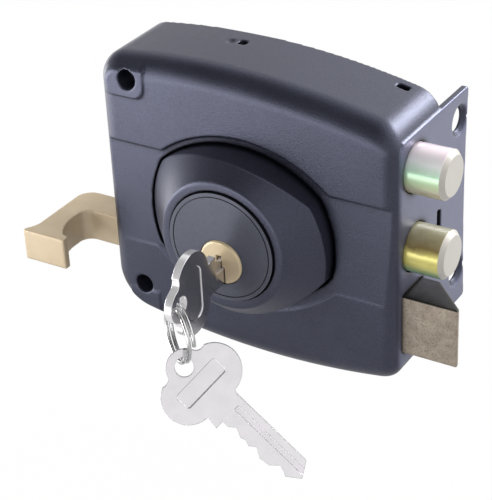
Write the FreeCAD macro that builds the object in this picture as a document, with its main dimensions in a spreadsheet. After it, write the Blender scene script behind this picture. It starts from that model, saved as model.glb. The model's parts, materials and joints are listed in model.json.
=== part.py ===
# Surface-mounted door lock, millimetres, +Z up. The key side faces -Y, the bolts slide along +X,
# and the plane y = 0 is the face that lies on the door. The origin is on that face, behind the
# centre of the round cylinder face.
import FreeCAD
import Part
import Sketcher
import math
import os

Vector = FreeCAD.Vector
doc = FreeCAD.newDocument("DoorLock")
sheet = doc.addObject("Spreadsheet::Sheet", "Sizes")
sheet.Label = "Sizes"
X_AXIS, Y_AXIS, Z_AXIS = Vector(1, 0, 0), Vector(0, 1, 0), Vector(0, 0, 1)


# Driving dimensions. Each has one cell with an alias, and a Size carries its number and its cell
# name through sums, so that a bound property and a computed one follow the same value.
class Size:
    def __init__(self, value, text):
        self.value = float(value)
        self.text = text

    def __add__(self, other):
        other = as_size(other)
        return Size(self.value + other.value, "(%s + %s)" % (self.text, other.text))

    def __sub__(self, other):
        other = as_size(other)
        return Size(self.value - other.value, "(%s - %s)" % (self.text, other.text))

    def __mul__(self, other):
        other = as_size(other)
        return Size(self.value * other.value, "(%s * %s)" % (self.text, other.text))

    def __truediv__(self, other):
        other = as_size(other)
        return Size(self.value / other.value, "(%s / %s)" % (self.text, other.text))

    def __radd__(self, other):
        return as_size(other) + self

    def __rsub__(self, other):
        return as_size(other) - self

    def __rmul__(self, other):
        return as_size(other) * self

    def __neg__(self):
        return Size(-self.value, "(0 - %s)" % self.text)


def as_size(number):
    if isinstance(number, Size):
        return number
    return Size(number, "(%s)" % repr(float(number)))


rows = 0


def cell(alias, value, note):
    global rows
    rows += 1
    sheet.set("A%d" % rows, note)
    sheet.set("B%d" % rows, str(value))
    sheet.setAlias("B%d" % rows, alias)
    return Size(value, "Sizes.%s" % alias)


# Case
case_left = cell("case_left", 48.0, "case, key axis to hook side")
case_right = cell("case_right", 46.6, "case, key axis to bolt side")
case_high = cell("case_high", 45.3, "disc axis to the highest point of the case")
case_low = cell("case_low", 43.7, "disc axis to the lowest point of the case")
case_deep = cell("case_deep", 28.0, "case depth, door face to front")
high_bow = cell("high_bow", 238.0, "radius of the bowed top")
high_x = cell("high_x", -13.0, "highest place of the top, sideways")
low_bow = cell("low_bow", 217.0, "radius of the bowed bottom")
low_x = cell("low_x", 4.5, "lowest place of the bottom, sideways")
case_wall = cell("case_wall", 2.8, "cast wall")
round_front = cell("round_front", 6.5, "rounding, front to top and bottom")
round_hook = cell("round_hook", 6.0, "rounding, front to hook side")
round_bolt = cell("round_bolt", 4.4, "rounding, front to bolt side")
corner_high_hook = cell("corner_high_hook", 8.0, "outline's corner, upper, hook side")
corner_high_bolt = cell("corner_high_bolt", 9.0, "outline's corner, upper, bolt side")
corner_low_hook = cell("corner_low_hook", 14.0, "outline's corner, lower, hook side")
corner_low_bolt = cell("corner_low_bolt", 7.0, "outline's corner, lower, bolt side")
band_hook = cell("band_hook", 17.6, "sunk band, upper edge on the hook side")
band_bolt = cell("band_bolt", 15.7, "sunk band, upper edge on the bolt side")
band_low = cell("band_low", 14.5, "sunk band, lower edge below the axis")
band_sink = cell("band_sink", 1.2, "depth of the sunk band at its upper edge")
band_end = cell("band_end", 0.15, "depth of the sunk band at its lower edge")
sink_low = cell("sink_low", 0.35, "depth of the sunk field below the band")
sink_bow = cell("sink_bow", 41.3, "radius of the sunk field's two arcs")
sink_x = cell("sink_x", -1.4, "middle of the sunk field's arcs, sideways")
sink_z = cell("sink_z", 14.8, "middle of the sunk field's arcs, up and down")
pad_side = cell("pad_side", 5.3, "screw pad, past the hole's middle")
pad_drop = cell("pad_drop", 5.1, "screw pad, below the hole's middle")
pad_bend = cell("pad_bend", 3.0, "screw pad, rounded corner")
pad_rise = cell("pad_rise", 0.9, "screw pad, rise over the front")
mount_x = cell("mount_x", 36.8, "front screw holes, to the hook side")
mount_under = cell("mount_under", 7.8, "upper screw hole, below the case top")
mount_over = cell("mount_over", 14.7, "lower screw hole, above the case bottom")
mount_rad = cell("mount_rad", 2.9, "front screw hole radius")
tube_wall = cell("tube_wall", 2.2, "wall of the screw tubes")
post_x = cell("post_x", 26.0, "case posts, sideways")
post_inset = cell("post_inset", 6.2, "case posts, inside the bowed edge")
post_rad = cell("post_rad", 3.8, "case post radius")
screw_rad = cell("screw_rad", 1.25, "small screw shank radius")
screw_head_rad = cell("screw_head_rad", 2.5, "small screw head radius")
screw_head_tall = cell("screw_head_tall", 1.1, "small screw head height")
screw_length = cell("screw_length", 7.0, "case screw length under the head")
fit_gap = cell("fit_gap", 0.15, "gap of pieces that drop in")
run_gap = cell("run_gap", 0.06, "radial gap of turning pieces")
slide_gap = cell("slide_gap", 0.25, "gap round sliding pieces")
# Plates
back_thick = cell("back_thick", 2.0, "back plate")
face_thick = cell("face_thick", 2.0, "face plate")
face_half = cell("face_half", 33.8, "face plate, half height")
flange_out = cell("flange_out", 17.0, "face plate flange past the door face")
flange_dip = cell("flange_dip", 1.2, "hollow of the flange's long edge")
flange_tip = cell("flange_tip", 0.8, "bevel of the flange's corners")
edge_hole_y = cell("edge_hole_y", 11.4, "flange holes past the door face")
edge_hole_half = cell("edge_hole_half", 24.2, "flange holes, half spacing")
edge_hole_rise = cell("edge_hole_rise", 1.2, "flange holes, middle above the axis")
edge_hole_rad = cell("edge_hole_rad", 3.3, "flange hole radius")
edge_sink_rad = cell("edge_sink_rad", 5.0, "flange countersink radius")
tab_low = cell("tab_low", -5.6, "back plate tab, low end")
tab_high = cell("tab_high", 2.8, "back plate tab, high end")
tab_short = cell("tab_short", 0.3, "back plate tab, short of the door face")
tail_hole_rad = cell("tail_hole_rad", 4.0, "tailpiece hole radius")
# Bolts
bolt_rad = cell("bolt_rad", 7.0, "bolt radius")
bolt_y = cell("bolt_y", 15.7, "bolt axis, in front of the door face")
bolt_high = cell("bolt_high", 23.5, "upper bolt axis")
bolt_low = cell("bolt_low", -0.7, "lower bolt axis")
bolt_out = cell("bolt_out", 11.0, "bolt projection at rest")
bolt_start = cell("bolt_start", 27.2, "bolt's inner end")
bolt_bevel = cell("bolt_bevel", 1.3, "bevel of the bolt's end")
bolt_flat = cell("bolt_flat", 5.5, "bolt axis to its rear flat")
carrier_thick = cell("carrier_thick", 2.0, "bolt carrier")
carrier_start = cell("carrier_start", 22.0, "bolt carrier, inner end")
carrier_end = cell("carrier_end", 32.4, "bolt carrier, outer end")
bolt_screw_half = cell("bolt_screw_half", 2.6, "bolt screws, half spacing")
# Gear train
tooth_size = cell("tooth_size", 0.7, "gear module")
pinion_teeth = cell("pinion_teeth", 10, "teeth, plug gear")
wheel_teeth = cell("wheel_teeth", 28, "teeth, wheel")
drive_teeth = cell("drive_teeth", 14, "teeth, rack gear")
gear_thick = cell("gear_thick", 3.0, "gear width")
gear_back = cell("gear_back", 4.4, "gears, in front of the door face")
axle_rad = cell("axle_rad", 1.6, "wheel axle radius")
axle_foot_rad = cell("axle_foot_rad", 1.5, "foot of the wheel axle")
play = cell("play", 0.12, "play between teeth")
arm_tall = cell("arm_tall", 6.0, "toothed arm height")
rack_reach = cell("rack_reach", 17.0, "toothed arm, to the hook side")
# Latch
latch_out = cell("latch_out", 16.2, "latch projection at rest")
latch_front = cell("latch_front", 23.2, "latch front, before the door face")
latch_thick = cell("latch_thick", 12.0, "latch thickness")
latch_top = cell("latch_top", -12.7, "latch top")
latch_tall = cell("latch_tall", 18.4, "latch height")
latch_start = cell("latch_start", 32.6, "latch's inner end")
latch_nose = cell("latch_nose", 1.2, "flat on the latch's tip")
bar_thick = cell("bar_thick", 2.5, "latch bar")
bar_tall = cell("bar_tall", 5.8, "latch bar height")
bar_y = cell("bar_y", 19.0, "latch bar middle, before the door face")
pin_rad = cell("pin_rad", 1.5, "rivet radius")
spring_rad = cell("spring_rad", 3.2, "latch spring, wire middle")
spring_wire = cell("spring_wire", 0.45, "latch spring wire radius")
spring_turns = cell("spring_turns", 9, "latch spring turns")
spring_start = cell("spring_start", 2.0, "latch spring, fixed end")
spring_y = cell("spring_y", 12.9, "latch spring axis, before the door face")
spring_pocket = cell("spring_pocket", 2.0, "depth of the spring pocket")
stop_foot_rad = cell("stop_foot_rad", 1.5, "foot of the spring stop")
stop_thick = cell("stop_thick", 4.0, "spring stop")
bar_seat = cell("bar_seat", 12.0, "length of the bar inside the latch")
# Hook
hook_grip = cell("hook_grip", 9.0, "length of the bar inside the hook root")
hook_top = cell("hook_top", -10.6, "hook top")
hook_tall = cell("hook_tall", 10.0, "hook height")
hook_back = cell("hook_back", 14.4, "hook root, rear")
hook_root = cell("hook_root", 10.4, "hook root thickness")
hook_reach = cell("hook_reach", 66.2, "hook arm outer face")
hook_arm = cell("hook_arm", 7.0, "hook arm thickness")
hook_front = cell("hook_front", 43.4, "hook pad front")
hook_pad = cell("hook_pad", 3.0, "hook pad thickness")
hook_pad_left = cell("hook_pad_left", 68.2, "hook pad, outer end")
hook_pad_right = cell("hook_pad_right", 53.4, "hook pad, inner end")
# Rose and cylinder
rose_drop = cell("rose_drop", 1.0, "rose foot, below the disc axis")
rose_rad = cell("rose_rad", 31.4, "rose foot radius")
rose_foot = cell("rose_foot", 27.0, "rose foot edge, before the door face")
rose_bow = cell("rose_bow", 37.4, "radius of the rose's upper and lower arcs")
rose_bow_x = cell("rose_bow_x", -2.6, "middle of the rose's arcs, sideways")
rose_bow_z = cell("rose_bow_z", 13.9, "middle of the rose's arcs, up and down")
rose_side = cell("rose_side", 31.0, "radius of the rose's side to the bolts")
rose_side_x = cell("rose_side_x", -3.6, "middle of that side's arc, sideways")
rose_side_z = cell("rose_side_z", -2.5, "middle of that side's arc, height")
rose_top = cell("rose_top", 40.9, "rose rim, before the door face")
rose_rim_rad = cell("rose_rim_rad", 19.3, "rose rim radius")
rose_round = cell("rose_round", 1.2, "rounding of the rose rim")
rose_flange_rad = cell("rose_flange_rad", 34.0, "rose flange radius")
rose_flange = cell("rose_flange", 1.6, "rose flange thickness")
rose_gap = cell("rose_gap", 0.45, "gap round the rose foot")
rose_wall = cell("rose_wall", 2.8, "rose wall")
disc_rad = cell("disc_rad", 16.5, "cylinder face radius")
disc_front = cell("disc_front", 41.5, "cylinder face, before the door face")
disc_thick = cell("disc_thick", 1.5, "face disc")
disc_line_rad = cell("disc_line_rad", 15.3, "thin ring line on the disc")
body_rad = cell("body_rad", 13.5, "cylinder body radius")
body_back = cell("body_back", 11.2, "cylinder body rear, before the door face")
body_flange = cell("body_flange", 3.0, "cylinder flange")
clip_deep = cell("clip_deep", 0.9, "depth of the clip groove")
clip_thick = cell("clip_thick", 1.5, "cylinder clip")
clip_wide = cell("clip_wide", 3.2, "cylinder clip, radial width")
plug_rad = cell("plug_rad", 6.7, "plug radius")
plug_drop = cell("plug_drop", 4.6, "plug axis, below the disc axis")
plug_proud = cell("plug_proud", 0.4, "plug in front of the disc")
plug_neck_rad = cell("plug_neck_rad", 2.4, "plug tail radius")
washer_rad = cell("washer_rad", 8.0, "plug washer radius")
washer_thick = cell("washer_thick", 0.6, "plug washer")
pin_count = cell("pin_count", 5, "pin tumblers")
pin_pitch = cell("pin_pitch", 4.0, "pin spacing")
pin_first = cell("pin_first", 37.5, "first pin, before the door face")
tumbler_rad = cell("tumbler_rad", 1.4, "tumbler pin radius")
driver_tall = cell("driver_tall", 3.6, "driver pin height")
cap_tall = cell("cap_tall", 1.6, "chamber cap height")
pin_spring_wire = cell("pin_spring_wire", 0.18, "pin spring wire radius")
pin_spring_turns = cell("pin_spring_turns", 5, "pin spring turns")
# Keys and ring
blade_tall = cell("blade_tall", 8.3, "key blade height")
blade_low = cell("blade_low", 6.25, "key blade's back below the plug axis")
blade_half = cell("blade_half", 1.1, "key blade, half thickness")
blade_web = cell("blade_web", 0.3, "key blade, overlap of its two ribs")
blade_rail = cell("blade_rail", 2.0, "key blade, full rail along its back")
key_y = cell("key_y", 63.4, "key hole, before the door face")
key_notch = cell("key_notch", 17.8, "key hole to the notch at the blade's root")
key_tip = cell("key_tip", 43.5, "key hole to the tip")
key_back = cell("key_back", 4.7, "key hole to the blade's back, across")
bow_half = cell("bow_half", 1.15, "key bow, half thickness")
bow_end = cell("bow_end", 14.0, "key hole to the bow's end")
bow_side = cell("bow_side", 8.0, "lobes, where the neck round the hole starts")
bow_lobe = cell("bow_lobe", 7.52, "lobe radius")
head_rad = cell("head_rad", 5.29, "rounding of the end round the hole")
key_hole_rad = cell("key_hole_rad", 2.6, "key hole radius")
recess_deep = cell("recess_deep", 0.3, "sunk field of the bow")
ring_rad = cell("ring_rad", 8.0, "key ring, wire middle")
ring_wire = cell("ring_wire", 0.54, "key ring wire radius")
ring_pitch = cell("ring_pitch", 1.36, "key ring, turn to turn")
ring_hang = cell("ring_hang", 0.8, "key hole down to the ring's wire")
ring_turn = cell("ring_turn", -36.0, "key ring, turned about the vertical")
spare_x = cell("spare_x", 3.2, "spare key hole, sideways")
spare_y = cell("spare_y", -67.1, "spare key hole, along Y")
spare_z = cell("spare_z", -22.8, "spare key hole height")
spare_yaw = cell("spare_yaw", 122.6, "spare key, turned about Z")
spare_pitch = cell("spare_pitch", 30.2, "spare key, turned about Y")
spare_roll = cell("spare_roll", -133.3, "spare key, turned about X")
doc.recompute()

# Places worked out from the sizes
inner_front = case_wall - case_deep
mount_high = case_high - mount_under
mount_low = case_low - mount_over
plug_z = -plug_drop
pitch_pinion = tooth_size * pinion_teeth / 2
pitch_wheel = tooth_size * wheel_teeth / 2
pitch_drive = tooth_size * drive_teeth / 2
wheel_z = plug_z + pitch_pinion + pitch_wheel
carrier_front = -bolt_y + bolt_flat
carrier_back = carrier_front + carrier_thick
rack_z = wheel_z + pitch_drive
face_left = case_right - face_thick
hook_low = hook_top - hook_tall
bar_z = hook_low + bar_tall / 2 + 0.7
latch_low = latch_top - latch_tall
spring_z = latch_low + latch_tall / 2
stop_x = spring_start - stop_thick / 2
rose_back = inner_front + rose_flange
plug_front = -disc_front - plug_proud

subparts = {}


# Helpers that make one bound object each
def bind(thing, prop, size):
    size = as_size(size)
    thing.setExpression(prop, size.text)


def place(thing, x, y, z):
    x, y, z = as_size(x), as_size(y), as_size(z)
    base = thing.Placement
    base.Base = Vector(x.value, y.value, z.value)
    thing.Placement = base
    bind(thing, ".Placement.Base.x", x)
    bind(thing, ".Placement.Base.y", y)
    bind(thing, ".Placement.Base.z", z)
    return thing


def block(name, x0, x1, y0, y1, z0, z1):
    x0, x1, y0, y1, z0, z1 = [as_size(number) for number in (x0, x1, y0, y1, z0, z1)]
    thing = doc.addObject("Part::Box", name)
    for prop, size in (("Length", x1 - x0), ("Width", y1 - y0), ("Height", z1 - z0)):
        bind(thing, prop, size)
    return place(thing, x0, y0, z0)


TURNS = {"x": FreeCAD.Rotation(Y_AXIS, 90), "y": FreeCAD.Rotation(X_AXIS, -90), "z": FreeCAD.Rotation()}


def rod(name, axis, radius, start, length, centre):
    """A round rod along an axis from start, with its other two coordinates in centre."""
    thing = doc.addObject("Part::Cylinder", name)
    bind(thing, "Radius", radius)
    bind(thing, "Height", length)
    thing.Placement = FreeCAD.Placement(Vector(), TURNS[axis])
    spot = {"x": (start, centre[0], centre[1]), "y": (centre[0], start, centre[1]),
            "z": (centre[0], centre[1], start)}[axis]
    return place(thing, *spot)


def cone(name, axis, radius_start, radius_end, start, length, centre):
    thing = doc.addObject("Part::Cone", name)
    bind(thing, "Radius1", radius_start)
    bind(thing, "Radius2", radius_end)
    bind(thing, "Height", length)
    thing.Placement = FreeCAD.Placement(Vector(), TURNS[axis])
    spot = {"x": (start, centre[0], centre[1]), "y": (centre[0], start, centre[1]),
            "z": (centre[0], centre[1], start)}[axis]
    return place(thing, *spot)


def fuse(name, things):
    if len(things) == 1:
        return things[0]
    thing = doc.addObject("Part::MultiFuse", name)
    thing.Shapes = things
    return thing


def common(name, things):
    thing = doc.addObject("Part::MultiCommon", name)
    thing.Shapes = things
    return thing


def cut(name, base, tools):
    thing = doc.addObject("Part::Cut", name)
    thing.Base = base
    thing.Tool = fuse(name + "_tools", tools)
    return thing


def group(name, things):
    """Separate solids of one node, kept apart."""
    thing = doc.addObject("Part::Compound", name)
    thing.Links = things
    return thing


def keep(label, thing):
    thing.Label = label
    subparts[label] = thing
    return thing


def edges_where(thing, test):
    doc.recompute()
    return [number + 1 for number, edge in enumerate(thing.Shape.Edges) if test(edge)]


def middle(edge):
    low, high = edge.ParameterRange
    return edge.valueAt((low + high) / 2)


def sketch(body, name, role, offset=None):
    """A sketch on one of the body's own origin planes, moved along its normal by offset."""
    thing = body.newObject("Sketcher::SketchObject", name)
    plane = [f for f in body.Origin.OriginFeatures if f.Role == role][0]
    thing.AttachmentSupport = [(plane, "")]
    thing.MapMode = "FlatFace"
    if offset is not None:
        bind(thing, ".AttachmentOffset.Base.z", offset)
    return thing


def pin_point(thing, geometry, end, x, y):
    """Hold a sketch point at x, y, each bound to the sheet."""
    for kind, size in (("DistanceX", as_size(x)), ("DistanceY", as_size(y))):
        number = thing.addConstraint(Sketcher.Constraint(kind, -1, 1, geometry, end, size.value))
        thing.setExpression("Constraints[%d]" % number, size.text)


def outline(thing, corners):
    """A closed outline. Each corner is (x, y) or (x, y, radius): radius bends the stretch to the
    next corner, to the right of travel when it is positive and to the left when negative."""
    spots = [(as_size(c[0]), as_size(c[1])) for c in corners]
    for index, corner in enumerate(corners):
        ax, ay = [size.value for size in spots[index]]
        bx, by = [size.value for size in spots[(index + 1) % len(corners)]]
        if len(corner) == 2:
            thing.addGeometry(Part.LineSegment(Vector(ax, ay, 0), Vector(bx, by, 0)), False)
            continue
        radius = as_size(corner[2])
        bow = abs(radius.value)
        half = math.hypot(bx - ax, by - ay) / 2
        rise = bow - math.sqrt(max(bow * bow - half * half, 0))
        side = 1 if radius.value > 0 else -1
        mx = (ax + bx) / 2 + side * rise * (by - ay) / (2 * half)
        my = (ay + by) / 2 - side * rise * (bx - ax) / (2 * half)
        ends = [Vector(ax, ay, 0), Vector(bx, by, 0)]
        if side < 0:
            ends.reverse()
        thing.addGeometry(Part.Arc(ends[0], Vector(mx, my, 0), ends[1]), False)
    for index, corner in enumerate(corners):
        end_of_last = (index - 1) % len(corners)
        tie_ends(thing, end_of_last, index)
    for index, corner in enumerate(corners):
        start = corner_end(thing, index, spots[index])
        pin_point(thing, index, start, *spots[index])
        if len(corner) == 3:
            bow = as_size(corner[2])
            bow = bow if bow.value > 0 else -bow
            number = thing.addConstraint(Sketcher.Constraint("Radius", index, bow.value))
            thing.setExpression("Constraints[%d]" % number, bow.text)


def corner_end(thing, index, spot):
    """Which end of a stretch, 1 or 2, lies at the spot: arcs always run anticlockwise."""
    first = thing.Geometry[index].StartPoint
    if math.hypot(first.x - spot[0].value, first.y - spot[1].value) < 1e-4:
        return 1
    return 2


def tie_ends(thing, last, following):
    best = None
    for one in (1, 2):
        for two in (1, 2):
            a = thing.Geometry[last].StartPoint if one == 1 else thing.Geometry[last].EndPoint
            b = thing.Geometry[following].StartPoint if two == 1 else thing.Geometry[following].EndPoint
            gap = (a - b).Length
            if best is None or gap < best[0]:
                best = (gap, one, two)
    thing.addConstraint(Sketcher.Constraint("Coincident", last, best[1], following, best[2]))


def ring(thing, radius, x=0, y=0):
    size = as_size(radius)
    spot = Vector(as_size(x).value, as_size(y).value, 0)
    number = thing.addGeometry(Part.Circle(spot, Z_AXIS, size.value), False)
    held = thing.addConstraint(Sketcher.Constraint("Radius", number, size.value))
    thing.setExpression("Constraints[%d]" % held, size.text)
    pin_point(thing, number, 3, x, y)
    return number


def pad(body, name, profile, length, both=False):
    thing = body.newObject("PartDesign::Pad", name)
    thing.Profile = profile
    bind(thing, "Length", length)
    thing.Midplane = both
    profile.Visibility = False
    return thing


def pocket(body, name, profile, length):
    """A cut along the sketch's own normal."""
    thing = body.newObject("PartDesign::Pocket", name)
    thing.Profile = profile
    bind(thing, "Length", length)
    thing.Reversed = True
    profile.Visibility = False
    return thing


# Case
def barrel(name, inset, depth_front, depth_back):
    """The bowed outline, inset all round, as a block between two depths."""
    slab = block(name + "_slab", inset - case_left, case_right - inset, depth_front, depth_back,
                 inset - case_low - 1, case_high - inset + 1)
    upper = rod(name + "_upper", "y", high_bow - inset, depth_front, depth_back - depth_front,
                (high_x, case_high - high_bow))
    lower = rod(name + "_lower", "y", low_bow - inset, depth_front, depth_back - depth_front,
                (low_x, low_bow - case_low))
    return common(name, [slab, upper, lower])


def round_edges(name, base, chooser):
    """Round the edges for which chooser gives a radius."""
    doc.recompute()
    chosen = []
    for number, edge in enumerate(base.Shape.Edges):
        radius = chooser(edge)
        if radius:
            chosen.append((number + 1, radius.value, radius.value))
    thing = doc.addObject("Part::Fillet", name)
    thing.Base = base
    thing.Edges = chosen
    return thing


def corner_round(spot):
    """Radius of the outline's corner at a spot."""
    if spot.x < 0:
        return corner_high_hook if spot.z > 0 else corner_low_hook
    return corner_high_bolt if spot.z > 0 else corner_low_bolt


def case_rounding(front, left, right, less):
    """Radii of the case's front edges and of its outline's corners."""
    def chooser(edge):
        spot = middle(edge)
        if abs(spot.y - front.value) < 1e-3:
            if abs(spot.x - left.value) < 1e-3:
                return round_hook - less
            if abs(spot.x - right.value) < 1e-3:
                return round_bolt - less
            return round_front - less
        if abs(edge.tangentAt(edge.FirstParameter).y) > 0.99:
            return corner_round(spot) - less
        return None
    return chooser


def rose_screw_spots():
    """Three screws on the rose's flange, where the rose's outline is narrow."""
    spots = []
    for angle in (60, 120, 270):
        turn = math.radians(angle)
        spots.append(((rose_flange_rad - 2.2) * math.cos(turn),
                      (rose_flange_rad - 2.2) * math.sin(turn) - rose_drop))
    return spots


def post_spots():
    """The four case posts, a fixed way inside the bowed top and bottom."""
    spots = []
    for sx in (1, -1):
        side = "bolt" if sx > 0 else "hook"
        off = sx * post_x - high_x
        spots.append(("up_" + side, sx * post_x, case_high - off * off / (high_bow * 2) - post_inset))
        off = sx * post_x - low_x
        spots.append(("down_" + side, sx * post_x, off * off / (low_bow * 2) + post_inset - case_low))
    return spots


def mount_spots():
    return (("up", -mount_x, mount_high), ("down", -mount_x, -mount_low))


def rose_outline(name, grow, start, length):
    """The rose's outline, grown all round, as a bar along Y."""
    spots = (("high", rose_bow, rose_bow_x, -rose_bow_z), ("low", rose_bow, rose_bow_x, rose_bow_z),
             ("side", rose_side, rose_side_x, rose_side_z), ("foot", rose_rad, 0, -rose_drop))
    return common(name, [rod(name + "_" + part, "y", radius + grow, start, length, (x, z))
                         for part, radius, x, z in spots])


def bar_along(name, plane, start, length, corners):
    """A straight bar with a given outline, from a plane moved to start."""
    body = doc.addObject("PartDesign::Body", name)
    profile = sketch(body, name + "_outline", plane, start)
    outline(profile, corners)
    pad(body, name + "_pad", profile, length)
    body.Tip = body.Group[-1]
    return body


def screw_pads():
    """The pads round the two front screws: each slopes into the front and shows one or two edges."""
    right = pad_side - mount_x
    low = mount_high - pad_drop
    front = -case_deep
    shape = bar_along("pad_upper", "XZ_Plane", case_deep - 2, pad_rise + 3,
                      [(-case_left, low), (right - pad_bend, low, pad_bend), (right, low + pad_bend),
                       (right, case_high), (-case_left, case_high)])
    slope = bar_along("pad_upper_slope", "YZ_Plane", -case_left, case_left,
                      [(front - pad_rise, low - 1), (front, case_high - 1), (front + 2, case_high - 1),
                       (front + 2, low - 1)])
    lower = bar_along("pad_lower", "XY_Plane", -case_low, case_low - mount_low - 1.8,
                      [(right - 10.5, front), (right, front - pad_rise / 2), (right, front + 2),
                       (right - 10.5, front + 2)])
    return [common("pad_upper_shaped", [shape, slope]), lower]


def case_cover():
    shell = barrel("case_block", as_size(0), -case_deep, as_size(0))
    shell = round_edges("case_rounded", shell,
                        case_rounding(-case_deep, -case_left, case_right, as_size(0)))
    pads = screw_pads()
    envelope = barrel("pad_envelope", as_size(1.6), -case_deep - pad_rise, -case_deep + 14)
    envelope = round_edges("pad_envelope_rounded", envelope,
                           case_rounding(-case_deep - pad_rise, 1.6 - case_left,
                                         case_right - 1.6, as_size(1.6)))
    pads = common("pads_trimmed", [fuse("pads", pads), envelope])
    shell = fuse("case_outer", [shell, pads])
    hollow = barrel("hollow_block", case_wall, inner_front, as_size(1))
    hollow = round_edges("hollow_rounded", hollow,
                         case_rounding(inner_front, case_wall - case_left,
                                       case_right - case_wall, case_wall))
    shell = cut("case_shell", shell, [hollow])
    lugs = []
    for side, x, z in mount_spots():
        lugs.append(rod("tube_" + side, "y", mount_rad + tube_wall, inner_front - 0.5,
                        -inner_front - back_thick + 0.5, (x, z)))
    for side, x, z in post_spots():
        lugs.append(rod("post_" + side, "y", post_rad, inner_front - 0.5,
                        -inner_front - back_thick + 0.5, (x, z)))
    shell = fuse("case_with_lugs", [shell] + lugs)
    cuts = []
    reach = band_sink + 3
    for name, start, length, high in (("hook", -case_left - 1, case_left + 1, band_hook),
                                      ("bolt", -0.5, case_right + 1.5, band_bolt)):
        cuts.append(bar_along("band_" + name, "YZ_Plane", start, length,
                              [(band_sink - case_deep, high), (band_end - case_deep, -band_low),
                               (-case_deep - 3, -band_low), (-case_deep - 3, high)]))
    for name, deep, low, high in (("upper", band_sink, band_bolt - 0.5, sink_bow),
                                  ("lower", sink_low, -sink_bow, 0.5 - band_low)):
        arcs = [rod("sunk_%s_%s" % (name, way), "y", sink_bow, -case_deep - 3, reach, (sink_x, z))
                for way, z in (("up", sink_z), ("down", -sink_z))]
        slab = block("sunk_slab_" + name, -case_left, case_right, -case_deep - 3, deep - case_deep,
                     low, high)
        cuts.append(common("sunk_field_" + name, arcs + [slab]))
    cuts.append(rose_outline("rose_opening", rose_gap, -case_deep - 3, case_wall + 4))
    for name, x, z in mount_spots():
        cuts.append(rod("mount_hole_" + name, "y", mount_rad, -case_deep - 3, case_deep + 4, (x, z)))
    for name, x, z in post_spots():
        cuts.append(rod("post_hole_" + name, "y", screw_rad + 0.05, -back_thick - screw_length,
                        screw_length + 2, (x, z)))
    # seat of the face plate, and the ways through the wall behind it
    cuts.append(block("plate_seat", face_left, case_right + 5, round_bolt - case_deep, as_size(1),
                      -face_half - fit_gap, face_half + fit_gap))
    for name, z in (("high", bolt_high), ("low", bolt_low)):
        cuts.append(rod("bolt_way_" + name, "x", bolt_rad + slide_gap, case_right - 8, as_size(14),
                        (-bolt_y, z)))
    cuts.append(block("latch_way", case_right - 8, case_right + 5, -latch_front - slide_gap,
                      latch_thick - latch_front + slide_gap, latch_low - slide_gap,
                      latch_top + slide_gap))
    cuts.append(block("tab_way", case_right - 8, case_right + 5, -back_thick - fit_gap, as_size(1),
                      tab_low - fit_gap, tab_high + fit_gap))
    cuts.append(block("hook_way", -case_left - 5, case_wall - case_left + 3,
                      -hook_back - hook_root - slide_gap, slide_gap - hook_back,
                      hook_low - slide_gap, hook_top + slide_gap))
    # small marks of the casting on the top wall
    cuts.append(block("top_slot", as_size(35.0), as_size(38.6), as_size(-5.0), as_size(-2.8),
                      case_high - 12, case_high + 1))
    cuts.append(block("top_mark", as_size(-12.6), as_size(-10.0), as_size(-8.2), as_size(-5.8),
                      case_high - 1.4, case_high + 1))
    ball = doc.addObject("Part::Sphere", "top_dimple")
    bind(ball, "Radius", as_size(2.4))
    place(ball, as_size(-14.6), as_size(-7.6), case_high + 1.8)
    cuts.append(ball)
    for number, (x, z) in enumerate(rose_screw_spots()):
        cuts.append(rod("rose_screw_hole_%d" % number, "y", screw_rad + 0.05,
                        rose_back - 2.8, as_size(3), (x, z)))
    return cut("case_cover_solid", shell, cuts)


keep("case_cover", case_cover())


# Back plate, with the tab that enters the face plate
def back_plate():
    slab = barrel("back_block", case_wall + fit_gap, -back_thick, as_size(0))
    left = case_wall + fit_gap - case_left
    right = case_right - case_wall - fit_gap
    slab = round_edges("back_rounded", slab,
                       case_rounding(as_size(99), left, right, case_wall + fit_gap))
    tab = block("back_tab", right - 1, face_left + face_thick / 2, -back_thick, -tab_short,
                tab_low, tab_high)
    slab = fuse("back_with_tab", [slab, tab])
    cuts = [rod("tail_hole", "y", tail_hole_rad, -back_thick - 1, back_thick + 2, (0, plug_z))]
    for name, x, z in mount_spots():
        cuts.append(rod("back_mount_" + name, "y", mount_rad, -back_thick - 1, back_thick + 2, (x, z)))
    for name, x, z in post_spots():
        cuts.append(rod("back_hole_" + name, "y", screw_rad + 0.15, -back_thick - 1, back_thick + 2,
                        (x, z)))
        cuts.append(rod("back_seat_" + name, "y", screw_head_rad + fit_gap, -screw_head_tall,
                        screw_head_tall + 1, (x, z)))
    cuts.append(rod("axle_seat", "y", axle_foot_rad, -back_thick - 1, back_thick + 2, (0, wheel_z)))
    cuts.append(rod("stop_seat", "y", stop_foot_rad, -back_thick - 1, back_thick + 2,
                    (stop_x, spring_z)))
    return cut("back_plate_solid", slab, cuts)


keep("back_plate", back_plate())


def flat_screw(name, radius, head_rad, head_tall, length, head_y, x, z):
    """A screw along Y, with its slotted head from head_y towards the door and its shank before it."""
    head = rod(name + "_head", "y", head_rad, head_y, head_tall, (x, z))
    shank = rod(name + "_shank", "y", radius, head_y - length, length, (x, z))
    slot = block(name + "_slot", x - head_rad, x + head_rad, head_y + head_tall - 0.5,
                 head_y + head_tall + 1, z - 0.3, z + 0.3)
    return cut(name, fuse(name + "_body", [head, shank]), [slot])


screws = []
for side, x, z in post_spots():
    screws.append(flat_screw("case_screw_" + side, screw_rad, screw_head_rad, screw_head_tall,
                             screw_length, -screw_head_tall, x, z))
keep("back_plate_screws", group("case_screws", screws))


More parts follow.
